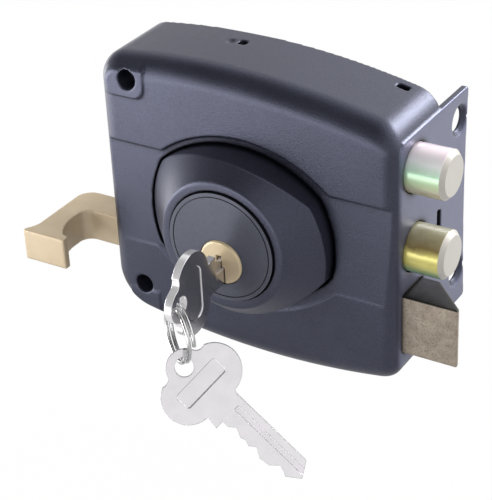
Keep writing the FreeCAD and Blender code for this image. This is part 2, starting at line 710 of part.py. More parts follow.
# Face plate with its flange for the door's edge
def face_plate():
    body = doc.addObject("PartDesign::Body", "face_plate_body")
    profile = sketch(body, "face_outline", "YZ_Plane", face_left)
    front = round_bolt - case_deep + fit_gap
    dip_half = face_half - flange_tip
    bow = (dip_half * dip_half + flange_dip * flange_dip) / (2 * flange_dip)
    outline(profile, [(front, -face_half), (flange_out - flange_tip, -face_half),
                      (flange_out, flange_tip - face_half, -bow),
                      (flange_out, face_half - flange_tip), (flange_out - flange_tip, face_half),
                      (front, face_half)])
    slab = pad(body, "face_pad", profile, face_thick)
    holes = sketch(body, "face_holes", "YZ_Plane", face_left)
    ring(holes, bolt_rad + 0.2, -bolt_y, bolt_high)
    ring(holes, bolt_rad + 0.2, -bolt_y, bolt_low)
    for rise in (edge_hole_half, -edge_hole_half):
        ring(holes, edge_hole_rad, edge_hole_y, edge_hole_rise + rise)
    pocket(body, "face_hole_cut", holes, face_thick)
    gap = 0.2
    window = sketch(body, "face_window", "YZ_Plane", face_left)
    front, back = -latch_front - gap, latch_thick - latch_front + gap
    outline(window, [(front, latch_low - gap), (back, latch_low - gap), (back, latch_top + gap),
                     (front, latch_top + gap)])
    pocket(body, "face_window_cut", window, face_thick)
    slot = sketch(body, "face_slot", "YZ_Plane", face_left)
    outline(slot, [(-back_thick - fit_gap, tab_low - fit_gap), (fit_gap, tab_low - fit_gap),
                   (fit_gap, tab_high + fit_gap), (-back_thick - fit_gap, tab_high + 0.9)])
    pocket(body, "face_slot_cut", slot, face_thick)
    body.Tip = body.Group[-1]
    sinks = []
    for number, rise in enumerate((edge_hole_half, -edge_hole_half)):
        sinks.append(cone("face_sink_%d" % number, "x", edge_hole_rad, edge_sink_rad,
                          case_right - (edge_sink_rad - edge_hole_rad) * 0.8,
                          (edge_sink_rad - edge_hole_rad) * 0.8,
                          (edge_hole_y, edge_hole_rise + rise)))
    return cut("face_plate_solid", body, sinks)


keep("face_plate", face_plate())


# Bolts and their carrier
def bolt(name, z):
    end = case_right + bolt_out
    rods = [rod(name + "_rod", "x", bolt_rad, bolt_start, end - bolt_bevel - bolt_start,
                (-bolt_y, z)),
            cone(name + "_tip", "x", bolt_rad, bolt_rad - bolt_bevel, end - bolt_bevel, bolt_bevel,
                 (-bolt_y, z))]
    flat = block(name + "_flat", bolt_start - 1, carrier_end + 0.6, carrier_front,
                 carrier_front + 9, z - bolt_rad - 1, z + bolt_rad + 1)
    holes = [rod(name + "_hole_%d" % side, "y", screw_rad + 0.05, carrier_front - 6, as_size(7),
                 (bolt_screw_x, z + side * bolt_screw_half)) for side in (1, -1)]
    return cut(name, fuse(name + "_round", rods), [flat] + holes)


bolt_screw_x = (bolt_start + carrier_end) / 2
keep("upper_bolt", bolt("upper_bolt_solid", bolt_high))
keep("lower_bolt", bolt("lower_bolt_solid", bolt_low))


# Gear teeth: involute flanks as short chords, so the pairs roll together
PRESSURE = math.radians(25)
ADDENDUM = 0.8
DEDENDUM = 1.05


def gear_outline(teeth, size, slack, phase):
    """Points of a spur gear in the XZ plane. A tooth stands at the angle phase."""
    pitch = size * teeth / 2
    base = pitch * math.cos(PRESSURE)
    tip = pitch + ADDENDUM * size
    foot = pitch - DEDENDUM * size
    half = math.pi / (2 * teeth) - slack / (2 * pitch)
    spread = math.tan(PRESSURE) - PRESSURE
    flank = []
    start = max(base, foot)
    for step in range(5):
        radius = start + (tip - start) * step / 4
        turn = math.acos(min(base / radius, 1))
        flank.append((radius, half + spread - (math.tan(turn) - turn)))
    points = []
    for tooth in range(teeth):
        mid = phase + 2 * math.pi * tooth / teeth
        points.append((foot, mid - flank[0][1]))
        points += [(radius, mid - angle) for radius, angle in flank]
        points += [(radius, mid + angle) for radius, angle in reversed(flank)]
        points.append((foot, mid + flank[0][1]))
    return [(radius * math.cos(angle), radius * math.sin(angle)) for radius, angle in points]


def extrude_y(points, y0, thick):
    corners = [Vector(x, y0, z) for x, z in points]
    clean = [corners[0]]
    for corner in corners[1:]:
        if (corner - clean[-1]).Length > 1e-5:
            clean.append(corner)
    face = Part.Face(Part.makePolygon(clean + [clean[0]]))
    return face.extrude(Vector(0, thick, 0))


def made(name, shape):
    thing = doc.addObject("Part::Feature", name)
    thing.Shape = shape
    return thing


gear_front = -gear_back - gear_thick
teeth_up = math.pi / 2


def plug_gear():
    points = gear_outline(int(pinion_teeth.value), tooth_size.value, play.value, teeth_up)
    teeth = extrude_y(points, gear_front.value, gear_thick.value)
    teeth.translate(Vector(0, 0, plug_z.value))
    hub = rod("plug_gear_hub", "y", plug_neck_rad - 0.2, -body_back + washer_thick + 0.1,
              body_back - washer_thick - 0.1 - gear_back, (0, plug_z))
    slot = block("tailpiece_slot", as_size(-0.9), as_size(0.9), -gear_back - 2.2,
                 as_size(1) - gear_back, plug_z - 2, plug_z + 2)
    return cut("plug_gear_solid", fuse("plug_gear_round", [made("plug_gear_teeth", teeth), hub]),
               [slot])


def wheel_gear():
    half_tooth = math.pi / wheel_teeth.value
    down = -math.pi / 2 + half_tooth
    wheel = extrude_y(gear_outline(int(wheel_teeth.value), tooth_size.value, play.value, down),
                      gear_front.value, gear_thick.value)
    drive_front = carrier_front - 0.1
    drive = extrude_y(gear_outline(int(drive_teeth.value), tooth_size.value, play.value, teeth_up),
                      drive_front.value, gear_front.value - drive_front.value + 0.3)
    both = wheel.fuse(drive).removeSplitter()
    both.translate(Vector(0, 0, wheel_z.value))
    bore = rod("wheel_bore", "y", axle_rad + run_gap, as_size(-20), as_size(20), (0, wheel_z))
    return cut("wheel_gear_solid", made("wheel_teeth_solid", both), [bore])


keep("plug_gear", plug_gear())
keep("wheel_gear", wheel_gear())


def wheel_axle():
    head_front = carrier_front - 0.2
    things = [rod("axle_foot", "y", axle_foot_rad, -back_thick, back_thick - 0.2, (0, wheel_z)),
              rod("axle_shoulder", "y", axle_rad + 1.2, 0.1 - gear_back, gear_back - 0.1 - back_thick,
                  (0, wheel_z)),
              rod("axle_rod", "y", axle_rad, head_front, -head_front - back_thick, (0, wheel_z)),
              rod("axle_head", "y", axle_rad + 0.9, head_front - 0.6, as_size(0.6), (0, wheel_z))]
    return fuse("wheel_axle_solid", things)


keep("wheel_axle", wheel_axle())


# Bolt carrier: a plate behind the bolts with a toothed arm over the small gear
def rack_points(size, slack, first, last, root, back):
    step = math.pi * size
    half = step / 4 - slack / 2
    lean = math.tan(PRESSURE)
    tip = ADDENDUM * size
    deep = root
    points = [(first, back), (first, deep)]
    number = math.ceil((first + half + deep * lean) / step)
    while (number + 0.5) * step + half + deep * lean < last:
        mid = (number + 0.5) * step
        points += [(mid - half - deep * lean, deep), (mid - half + tip * lean, -tip),
                   (mid + half - tip * lean, -tip), (mid + half + deep * lean, deep)]
        number += 1
    points += [(last, deep), (last, back)]
    return points


def bolt_carrier():
    size = tooth_size.value
    points = rack_points(size, play.value, -rack_reach.value, carrier_start.value + 1,
                         DEDENDUM * size, arm_tall.value)
    arm = extrude_y(points, carrier_front.value, carrier_thick.value)
    arm.translate(Vector(0, 0, rack_z.value))
    plate = block("carrier_plate", carrier_start, carrier_end, carrier_front, carrier_back,
                  bolt_low - bolt_rad, bolt_high + bolt_rad)
    holes = []
    for name, z in (("low", bolt_low), ("high", bolt_high)):
        for side in (1, -1):
            holes.append(rod("carrier_hole_%s_%d" % (name, side), "y", screw_rad + 0.1,
                             carrier_front - 1, carrier_thick + 2,
                             (bolt_screw_x, z + side * bolt_screw_half)))
    return cut("bolt_carrier_solid", fuse("carrier_whole", [made("rack_arm", arm), plate]), holes)


keep("bolt_carrier", bolt_carrier())
screws = []
for name, z in (("low", bolt_low), ("high", bolt_high)):
    for side in (1, -1):
        screws.append(flat_screw("bolt_screw_%s_%d" % (name, side), screw_rad, screw_head_rad - 0.2,
                                 as_size(0.7), carrier_thick * 3, carrier_back, bolt_screw_x,
                                 z + side * bolt_screw_half))
keep("bolt_screws", group("bolt_screw_set", screws))


# Latch, its bar and the pull hook
def latch_bolt():
    end = case_right + latch_out
    body = doc.addObject("PartDesign::Body", "latch_body")
    profile = sketch(body, "latch_outline", "XY_Plane", latch_low)
    front, back = -latch_front, latch_thick - latch_front
    outline(profile, [(latch_start, front), (end, front), (end, front + latch_nose),
                      (end - latch_thick + latch_nose, back), (latch_start, back)])
    pad(body, "latch_pad", profile, latch_tall)
    body.Tip = body.Group[-1]
    cuts = [block("latch_bar_slot", latch_start - 1, latch_start + bar_seat,
                  -bar_y - bar_thick / 2, bar_thick / 2 - bar_y, bar_z - bar_tall / 2,
                  bar_z + bar_tall / 2)]
    for number, x in enumerate(latch_rivets):
        cuts.append(rod("latch_rivet_hole_%d" % number, "y", pin_rad, -latch_front - 1,
                        latch_thick + 2, (x, bar_z)))
    cuts.append(rod("spring_pocket", "x", spring_rad + spring_wire + 0.5, latch_start - 1,
                    spring_pocket + 1, (-spring_y, spring_z)))
    return cut("latch_bolt_solid", body, cuts)


latch_rivets = (latch_start + 3.6, latch_start + 8.6)
hook_in = case_wall - case_left + 10.2
hook_rivets = (hook_in - 2.6, hook_in - 6.6)
keep("latch_bolt", latch_bolt())


def latch_bar():
    slab = block("bar_slab", hook_in - hook_grip, latch_start + bar_seat, -bar_y - bar_thick / 2,
                 bar_thick / 2 - bar_y, bar_z - bar_tall / 2, bar_z + bar_tall / 2)
    holes = [rod("bar_hole_%d" % number, "y", pin_rad, -bar_y - bar_thick, bar_thick * 2, (x, bar_z))
             for number, x in enumerate(latch_rivets + hook_rivets)]
    return cut("latch_bar_solid", slab, holes)


keep("latch_bar", latch_bar())


def pull_hook():
    """A bent casting: a root through the case, an arm towards the front and a finger pad."""
    body = doc.addObject("PartDesign::Body", "hook_body")
    profile = sketch(body, "hook_outline", "XY_Plane", hook_low)
    back, front = -hook_back, -hook_back - hook_root
    outer, inner = -hook_reach, hook_arm - hook_reach
    pad_front, pad_back = -hook_front, hook_pad - hook_front
    bend = 5.0
    bow = 7.5
    outline(profile, [(hook_in, back), (outer + bend, back, bend), (outer, back - bend),
                      (outer, pad_back + 3.0, -bow), (outer - 1.2, pad_back - 0.6),
                      (-hook_pad_left, pad_front + 1.2), (-hook_pad_left, pad_front),
                      (-hook_pad_right, pad_front), (-hook_pad_right, pad_back - 1.0),
                      (-hook_pad_right - 1.0, pad_back), (inner + 3.6, pad_back, -13),
                      (inner, pad_back + 9.4), (inner, front - 3.6, -3.6),
                      (inner + 3.6, front), (hook_in, front)])
    pad(body, "hook_pad_out", profile, hook_tall)
    body.Tip = body.Group[-1]
    cuts = [block("hook_bar_slot", hook_in - hook_grip, hook_in + 1, -bar_y - bar_thick / 2,
                  bar_thick / 2 - bar_y, bar_z - bar_tall / 2, bar_z + bar_tall / 2)]
    for number, x in enumerate(hook_rivets):
        cuts.append(rod("hook_rivet_hole_%d" % number, "y", pin_rad, -hook_back - hook_root - 1,
                        hook_root + 2, (x, bar_z)))
    return cut("pull_hook_solid", body, cuts)


keep("pull_hook", pull_hook())


def rivets(name, xs, front, back):
    pins = [rod("%s_%d" % (name, number), "y", pin_rad - 0.03, front + 0.3, back - front - 0.6,
                (x, bar_z)) for number, x in enumerate(xs)]
    return group(name + "_set", pins)


keep("latch_rivets", rivets("latch_rivet", latch_rivets, -latch_front, latch_thick - latch_front))
keep("hook_rivets", rivets("hook_rivet", hook_rivets, -hook_back - hook_root, -hook_back))


# Coils: one unbroken tube along pairs of tangent arcs
def arc_pair(p0, t0, p1, t1):
    """Two arcs from p0 to p1 that share a tangent where they meet and at both ends."""
    gap = p1 - p0
    both = t0 + t1
    a = 2 * (1 - t0.dot(t1))
    b = 2 * gap.dot(both)
    c = -gap.dot(gap)
    reach = -c / b if abs(a) < 1e-12 else (-b + math.sqrt(b * b - 4 * a * c)) / (2 * a)
    knot = (p0 + t0 * reach + p1 - t1 * reach) * 0.5
    edges = []
    for start, way, stop in ((p0, t0, knot), (knot, None, p1)):
        if way is None:
            way = (p1 - t1 * reach - knot).normalize()
        chord = stop - start
        normal = way.cross(chord)
        side = normal.cross(way).normalize()
        radius = chord.dot(chord) / (2 * chord.dot(side))
        centre = start + side * radius
        mid = centre + ((start + stop) * 0.5 - centre).normalize() * abs(radius)
        edges.append(Part.Arc(start, mid, stop).toShape())
    return edges


def coil_shape(radius, wire, turns, length):
    """A round coil along +Z from z = 0, starting on +X. Returns the solid and its least gap."""
    def spot(turn):
        angle = 2 * math.pi * turn
        return Vector(radius * math.cos(angle), radius * math.sin(angle), length * turn / turns)

    def way(turn):
        angle = 2 * math.pi * turn
        rise = length / turns
        run = 2 * math.pi * radius
        return Vector(-run * math.sin(angle), run * math.cos(angle), rise).normalize()

    edges = []
    steps = int(round(turns * 4))
    for step in range(steps):
        start, stop = step * turns / steps, (step + 1) * turns / steps
        edges += arc_pair(spot(start), way(start), spot(stop), way(stop))
    path = Part.Wire(edges)
    section = Part.Wire(Part.Circle(spot(0), way(0), wire).toShape())
    tube = path.makePipeShell([section], True, False)
    if tube.Volume < 0:
        tube.reverse()
    gap = length / turns * math.cos(math.atan2(length / turns, 2 * math.pi * radius)) - 2 * wire
    return tube, gap


def spring_gap_note(label, gap):
    print("%s least gap to itself %.2f mm" % (label, gap))


def latch_spring():
    length = latch_start.value + spring_pocket.value - spring_start.value - 2 * spring_wire.value
    tube, gap = coil_shape(spring_rad.value, spring_wire.value, spring_turns.value, length)
    spring_gap_note("latch_spring", gap)
    thing = made("latch_spring_solid", tube)
    thing.Placement = FreeCAD.Placement(Vector(spring_start.value + spring_wire.value,
                                               -spring_y.value, spring_z.value), TURNS["x"])
    return thing


keep("latch_spring", latch_spring())


def spring_stop():
    """A post on the back plate that holds the spring's fixed end."""
    half = spring_rad + spring_wire + 0.55
    slab = block("stop_slab", spring_start - stop_thick, spring_start, -spring_y - half, -back_thick,
                 spring_z - half, spring_z + half)
    foot = rod("stop_foot", "y", stop_foot_rad, -back_thick, back_thick - 0.2, (stop_x, spring_z))
    peg = rod("stop_peg", "x", spring_rad - spring_wire - 0.35, spring_start, as_size(5),
              (-spring_y, spring_z))
    return fuse("spring_stop_solid", [slab, foot, peg])


keep("spring_stop", spring_stop())


# Rose: the shield that stands out of the case round the cylinder, a cone trimmed to an oval
def rose():
    drop = -rose_drop
    body = doc.addObject("PartDesign::Body", "rose_body")
    foot = sketch(body, "rose_foot_ring", "XZ_Plane", -rose_back)
    ring(foot, rose_rad, 0, drop)
    pad(body, "rose_foot_pad", foot, rose_foot + rose_back)
    low = sketch(body, "rose_low_ring", "XZ_Plane", rose_foot)
    ring(low, rose_rad, 0, drop)
    high = sketch(body, "rose_high_ring", "XZ_Plane", rose_top)
    ring(high, rose_rim_rad, 0, 0)
    loft = body.newObject("PartDesign::AdditiveLoft", "rose_cone")
    loft.Profile = low
    loft.Sections = [high]
    doc.recompute()
    rim = edges_where(loft, lambda edge: abs(middle(edge).y + rose_top.value) < 1e-3)
    rounded = body.newObject("PartDesign::Fillet", "rose_rim_round")
    rounded.Base = (loft, ["Edge%d" % number for number in rim])
    bind(rounded, "Radius", rose_round)
    body.Tip = rounded
    span = rose_top + rose_back + 2
    trimmed = common("rose_trimmed", [body, rose_outline("rose_prism", 0, rose_back - span, span)])
    flange = rod("rose_flange_rod", "y", rose_flange_rad, rose_back - rose_flange, rose_flange, (0, drop))
    cuts = [rod("rose_bore", "y", body_rad + fit_gap, as_size(-60), as_size(60), (0, 0)),
            rod("rose_seat", "y", disc_rad + 0.25, -disc_front - 5, 5 + disc_thick + body_flange,
                (0, 0))]
    hollow = cone("rose_hollow", "y", rose_rad - rose_wall - 6.5, rose_rad - rose_wall,
                  -rose_foot - 4, rose_foot + 4 + rose_back + 1, (0, drop))
    inner = rose_outline("rose_inner", -rose_wall, rose_back - span, span + 2)
    sleeve = rod("rose_sleeve", "y", body_rad + fit_gap + 2.2, as_size(-60), as_size(60), (0, 0))
    cuts.append(cut("rose_hollow_ring", common("rose_hollow_trimmed", [hollow, inner]), [sleeve]))
    for number, (x, z) in enumerate(rose_screw_spots()):
        cuts.append(rod("rose_hole_%d" % number, "y", screw_rad + 0.1, rose_back - 3, as_size(4),
                        (x, z)))
    return cut("rose_solid", fuse("rose_whole", [trimmed, flange]), cuts)


keep("cylinder_rose", rose())
screws = []
for number, (x, z) in enumerate(rose_screw_spots()):
    screws.append(flat_screw("rose_screw_%d" % number, screw_rad, screw_head_rad - 0.3,
                             as_size(0.8), rose_flange + 1.0, rose_back, x, z))
keep("rose_screws", group("rose_screw_set", screws))


# Lock cylinder
def pin_places():
    return [-pin_first + pin_pitch * number for number in range(int(pin_count.value))]


chamber_top = body_rad - 2.6
shear_gap = 0.05


def cylinder_body():
    rear = -body_back
    seat = disc_thick - disc_front
    barrel_rod = rod("body_rod", "y", body_rad, seat, rear - seat, (0, 0))
    flange = rod("body_flange_rod", "y", disc_rad, seat, body_flange, (0, 0))
    cuts = [rod("plug_bore", "y", plug_rad + shear_gap, as_size(-60), as_size(60), (0, plug_z))]
    for number, y in enumerate(pin_places()):
        cuts.append(rod("chamber_%d" % number, "z", tumbler_rad + 0.1, as_size(0), body_rad,
                        (0, y)))
    groove = cut("clip_groove", rod("groove_out", "y", body_rad + 1, rose_back, clip_thick + 0.1,
                                    (0, 0)),
                 [rod("groove_in", "y", body_rad - clip_deep, as_size(-60), as_size(60), (0, 0))])
    cuts.append(groove)
    return cut("cylinder_body_solid", fuse("body_whole", [barrel_rod, flange]), cuts)


keep("cylinder_body", cylinder_body())


def cylinder_clip():
    outer = rod("clip_out", "y", body_rad + clip_wide - clip_deep, rose_back + 0.02, clip_thick, (0, 0))
    inner = rod("clip_in", "y", body_rad - clip_deep + 0.05, as_size(-60), as_size(60), (0, 0))
    mouth = block("clip_mouth", -body_rad * 0.93, body_rad * 0.93, as_size(-60), as_size(0),
                  as_size(0), body_rad * 3)
    return cut("cylinder_clip_solid", outer, [inner, mouth])


keep("cylinder_clip", cylinder_clip())


def face_disc():
    slab = rod("disc_rod", "y", disc_rad, -disc_front, disc_thick, (0, 0))
    line = cut("disc_line", rod("line_out", "y", disc_line_rad + 0.15, -disc_front - 1,
                                as_size(1.3), (0, 0)),
               [rod("line_in", "y", disc_line_rad - 0.15, as_size(-60), as_size(60), (0, 0))])
    hole = rod("disc_hole", "y", plug_rad + 0.15, as_size(-60), as_size(60), (0, plug_z))
    return cut("face_disc_solid", slab, [line, hole])


keep("face_disc", face_disc())

blade_back = plug_z - blade_low
blade_top = blade_back + blade_tall
tip_y = key_tip - key_y


def blade_ribs(name, y0, y1, back, low, grow):
    """The ribs of a key's section above its back, or of the way cut for them from low upwards."""
    split = back + blade_tall / 2
    upper = block(name + "_upper", -blade_half - grow, blade_web + grow, y0, y1,
                  split - 0.6 - grow, back + blade_tall + grow)
    lower = block(name + "_lower", -blade_web - grow, blade_half + grow, y0, y1, low,
                  split + 0.6 + grow)
    rail = block(name + "_rail", -blade_half - grow, blade_half + grow, y0, y1, low,
                 back + blade_rail + grow)
    return [upper, lower, rail]


def plug():
    long_rod = rod("plug_rod", "y", plug_rad, plug_front + 0.5, -body_back - plug_front - 0.5,
                   (0, plug_z))
    rim = cone("plug_rim", "y", plug_rad - 0.5, plug_rad, plug_front, as_size(0.5), (0, plug_z))
    neck = rod("plug_neck", "y", plug_neck_rad, -body_back, washer_thick + 0.1, (0, plug_z))
    way_end = tip_y + 0.6
    cuts = blade_ribs("keyway", plug_front - 1, way_end, blade_back, plug_z - plug_rad - 1, 0.15)
    for number, y in enumerate(pin_places()):
        cuts.append(rod("plug_chamber_%d" % number, "z", tumbler_rad + 0.1, blade_top - 1,
                        plug_rad * 2, (0, y)))
    return cut("plug_solid", fuse("plug_whole", [long_rod, rim, neck]), cuts)


keep("cylinder_plug", plug())


def plug_washer():
    disc = rod("washer_rod", "y", washer_rad, 0.02 - body_back, washer_thick, (0, plug_z))
    hole = rod("washer_hole", "y", plug_neck_rad + 0.05, as_size(-60), as_size(60), (0, plug_z))
    return cut("plug_washer_solid", disc, [hole])


keep("plug_washer", plug_washer())

tumbler_low = blade_top + 0.2
tumbler_high = plug_z + plug_rad - 0.3
driver_low = plug_z + plug_rad + 0.15
key_pins, drivers, caps = [], [], []
for number, y in enumerate(pin_places()):
    nose = cone("pin_nose_%d" % number, "z", tumbler_rad - 0.8, tumbler_rad, tumbler_low, as_size(0.8),
                (0, y))
    shank = rod("pin_shank_%d" % number, "z", tumbler_rad, tumbler_low + 0.8,
                tumbler_high - tumbler_low - 0.8, (0, y))
    key_pins.append(fuse("key_pin_%d" % number, [nose, shank]))
    drivers.append(rod("driver_%d" % number, "z", tumbler_rad, driver_low, driver_tall, (0, y)))
    caps.append(rod("cap_%d" % number, "z", tumbler_rad + 0.05, chamber_top, cap_tall, (0, y)))
keep("key_pins", group("key_pin_set", key_pins))
keep("driver_pins", group("driver_pin_set", drivers))
keep("chamber_caps", group("cap_set", caps))


def pin_springs():
    low = driver_low + driver_tall + pin_spring_wire + 0.05
    length = chamber_top - low - pin_spring_wire - 0.05
    radius = tumbler_rad - pin_spring_wire - 0.05
    coils = []
    for number, y in enumerate(pin_places()):
        tube, gap = coil_shape(radius.value, pin_spring_wire.value, pin_spring_turns.value,
                               length.value)
        thing = made("pin_spring_%d" % number, tube)
        thing.Placement = FreeCAD.Placement(Vector(0, y.value, low.value), FreeCAD.Rotation())
        coils.append(thing)
    spring_gap_note("pin_springs", gap)
    return group("pin_spring_set", coils)


keep("pin_springs", pin_springs())


# Keys: a bow of two lobes with a hole at its end, and a blade cut on one edge
CUTS = ((0.0, 8.1), (2.0, 8.1), (3.7, 6.7), (6.4, 7.9), (7.8, 7.4), (9.5, 8.0), (11.2, 6.7),
        (13.9, 8.3), (15.3, 8.1), (17.0, 7.9), (19.2, 5.9), (20.7, 6.3), (22.2, 7.1))


def key(name):
    """A key with its hole at the origin, its blade along +Y and its cuts towards +Z."""
    body = doc.addObject("PartDesign::Body", name + "_bow_body")
    bow = sketch(body, name + "_bow_outline", "YZ_Plane")
    neck = head_rad * 0.9263
    back = -key_back
    outline(bow, [(bow_end, as_size(5.1), bow_lobe), (as_size(-0.4), bow_side, -2.4),
                  (as_size(-1.6), neck, head_rad), (as_size(-1.6), -neck, -2.4),
                  (as_size(-0.4), -bow_side, bow_lobe), (bow_end, as_size(-5.1)),
                  (bow_end + 0.9, back), (key_notch - 0.2, back), (key_notch - 0.2, as_size(5.8)),
                  (bow_end + 0.7, as_size(5.5))])
    pad(body, name + "_bow_pad", bow, bow_half * 2, both=True)
    body.Tip = body.Group[-1]
    blade_body = doc.addObject("PartDesign::Body", name + "_blade_body")
    blade = sketch(blade_body, name + "_blade_outline", "YZ_Plane")
    corners = [(key_notch - 0.2 + along, back + high) for along, high in CUTS]
    corners += [(key_tip, back + 4.4), (key_tip - 0.9, back + 2.7), (key_tip - 2.6, back),
                (key_notch - 3.0, back), (key_notch - 3.0, back + blade_tall - 0.2)]
    outline(blade, corners)
    pad(blade_body, name + "_blade_pad", blade, blade_half * 2, both=True)
    blade_body.Tip = blade_body.Group[-1]
    ribs = blade_ribs(name + "_rib", key_notch - 4.0, key_tip + 1, back, back, 0)
    shaped = common(name + "_blade", [blade_body, fuse(name + "_ribs", ribs)])
    cuts = [rod(name + "_hole", "x", key_hole_rad, -bow_half - 1, bow_half * 2 + 2, (0, 0))]
    cuts += field(name + "_oval", bow_half - recess_deep, bow_half + 1, 3.3, 10.2, 8.1, 2.9)
    frame = field(name + "_label", -bow_half - 1, recess_deep - bow_half, 3.9, 8.7, 7.4, 0.9)
    return cut(name + "_solid", fuse(name + "_whole", [body, shaped]), cuts + frame)


def field(name, x0, x1, near, far, half, bend):
    """A sunk field of a bow with rounded ends, between two distances from the hole."""
    near, far, half, bend = [as_size(number) for number in (near, far, half, bend)]
    things = [block(name + "_long", x0, x1, near, far, bend - half, half - bend)]
    if (far - near - bend * 2).value > 0.01:
        things.append(block(name + "_wide", x0, x1, near + bend, far - bend, -half, half))
    for number, y in enumerate((near + bend, far - bend)):
        for side in (1, -1):
            things.append(rod("%s_corner_%d_%d" % (name, number, side), "x", bend, x0, x1 - x0,
                              (y, side * (half - bend))))
    return things


door_key = key("door_key")
place(door_key, as_size(0), -key_y, blade_back + key_back)
keep("door_key", door_key)
spare_key = key("spare_key")
spare_key.Placement = FreeCAD.Placement(Vector(), FreeCAD.Rotation(spare_yaw.value,
                                                                   spare_pitch.value,
                                                                   spare_roll.value))
place(spare_key, spare_x, spare_y, spare_z)
keep("spare_key", spare_key)


def key_ring():
    tube, gap = coil_shape(ring_rad.value, ring_wire.value, 2, 2 * ring_pitch.value)
    spring_gap_note("key_ring", gap)
    thing = made("key_ring_solid", tube)
    turn = FreeCAD.Rotation(ring_turn.value, 0, 90)
    hole = Vector(0, -key_y.value, (blade_back + key_back).value)
    centre = hole - Z_AXIS * (ring_hang + ring_rad).value
    centre -= turn.multVec(Z_AXIS) * (0.75 * ring_pitch.value)
    thing.Placement = FreeCAD.Placement(centre, turn)
    return thing


keep("key_ring", key_ring())


# Check every object, then write one file for each sub-part
def check_objects():
    doc.recompute()
    for thing in doc.Objects:
        wrong = [word for word in thing.State if word in ("Invalid", "Error")]
        if wrong:
            raise RuntimeError("%s is %s" % (thing.Name, ", ".join(wrong)))


def check_shape(label, shape):
    if shape.isNull() or not shape.isValid():
        raise RuntimeError("%s has no valid shape" % label)
    if any(solid.Volume <= 0 for solid in shape.Solids) or not shape.Solids:
        raise RuntimeError("%s is not made of solids" % label)


check_objects()
os.makedirs("parts", exist_ok=True)
for label, thing in subparts.items():
    check_shape(label, thing.Shape)
    thing.Shape.exportStep("parts/%s.step" % label)
    box = thing.Shape.BoundBox
    print("%-20s %d solids, x %.1f..%.1f, y %.1f..%.1f, z %.1f..%.1f" % (
        label, len(thing.Shape.Solids), box.XMin, box.XMax, box.YMin, box.YMax, box.ZMin, box.ZMax))
print("written", len(subparts))
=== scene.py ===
# %% [markdown]
# A door lock, dressed in Blender.
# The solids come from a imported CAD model: a cast case with two round bolts, a latch with its pull
# hook, a cylinder with a key in it and a second key on the ring. This file keeps every solid where
# it is. It gives a softer copy to each piece that the eye rests on, a finish to every piece, and a
# floor, a sky and two lamps to the room.

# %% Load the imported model
import json
import math

import bmesh
import bpy
from mathutils import Matrix, Vector

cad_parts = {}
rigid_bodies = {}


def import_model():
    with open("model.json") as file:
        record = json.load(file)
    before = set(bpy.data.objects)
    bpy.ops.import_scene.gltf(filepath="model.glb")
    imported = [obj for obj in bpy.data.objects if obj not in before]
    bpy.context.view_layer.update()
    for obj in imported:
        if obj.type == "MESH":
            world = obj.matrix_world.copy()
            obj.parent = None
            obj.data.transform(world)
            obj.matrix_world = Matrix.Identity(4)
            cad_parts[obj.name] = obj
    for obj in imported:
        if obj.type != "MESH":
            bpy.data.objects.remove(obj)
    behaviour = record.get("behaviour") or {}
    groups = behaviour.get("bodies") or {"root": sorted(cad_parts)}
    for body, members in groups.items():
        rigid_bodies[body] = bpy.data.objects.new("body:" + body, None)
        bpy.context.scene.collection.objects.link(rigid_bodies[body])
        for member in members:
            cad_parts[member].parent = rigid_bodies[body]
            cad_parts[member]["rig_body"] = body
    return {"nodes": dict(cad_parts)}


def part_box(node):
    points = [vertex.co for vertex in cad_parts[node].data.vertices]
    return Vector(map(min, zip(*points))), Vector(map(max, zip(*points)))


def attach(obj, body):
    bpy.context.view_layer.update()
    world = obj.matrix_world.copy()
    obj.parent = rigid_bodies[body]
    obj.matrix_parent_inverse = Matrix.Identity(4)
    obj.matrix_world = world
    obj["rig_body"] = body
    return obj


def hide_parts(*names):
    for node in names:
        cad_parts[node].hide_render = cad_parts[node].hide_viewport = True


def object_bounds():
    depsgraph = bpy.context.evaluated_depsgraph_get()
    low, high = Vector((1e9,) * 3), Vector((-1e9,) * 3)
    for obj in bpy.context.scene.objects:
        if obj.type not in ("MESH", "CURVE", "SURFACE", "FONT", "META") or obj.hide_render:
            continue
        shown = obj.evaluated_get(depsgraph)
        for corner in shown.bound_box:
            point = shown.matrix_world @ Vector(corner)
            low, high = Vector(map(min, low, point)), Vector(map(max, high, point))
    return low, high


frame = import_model()
cad_low, cad_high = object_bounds()
scene = bpy.context.scene
scene.view_settings.view_transform = "Standard"
MM = 0.001

# %% [markdown]
# The camera stands where the photographer's stood: in front of the lock, to its right and above.
# Its place was found by fitting known corners of the lock to the picture, and it is written here
# as angles round the lock, a distance and a small shift of the aim, which are easier to read
# than a matrix. The lens follows from the focal length in pixels of the picture's long side.

# %% Camera
AZIMUTH, ELEVATION, ROLL = (math.radians(angle) for angle in (32.64, 30.19, -2.90))
DISTANCE = 480.7 * MM
AIM_RIGHT, AIM_UP = -14.40 * MM, -19.28 * MM
FOCAL_PIXELS, LONG_SIDE = 1647.65, 500
SENSOR = 36.0


def camera_axes():
    """The camera's right, up and backward directions."""
    level = math.cos(ELEVATION)
    back = Vector((math.sin(AZIMUTH) * level, -math.cos(AZIMUTH) * level, math.sin(ELEVATION)))
    right = Vector((math.cos(AZIMUTH), math.sin(AZIMUTH), 0))
    up = back.cross(right)
    turned_right = right * math.cos(ROLL) + up * math.sin(ROLL)
    turned_up = up * math.cos(ROLL) - right * math.sin(ROLL)
    return turned_right, turned_up, back


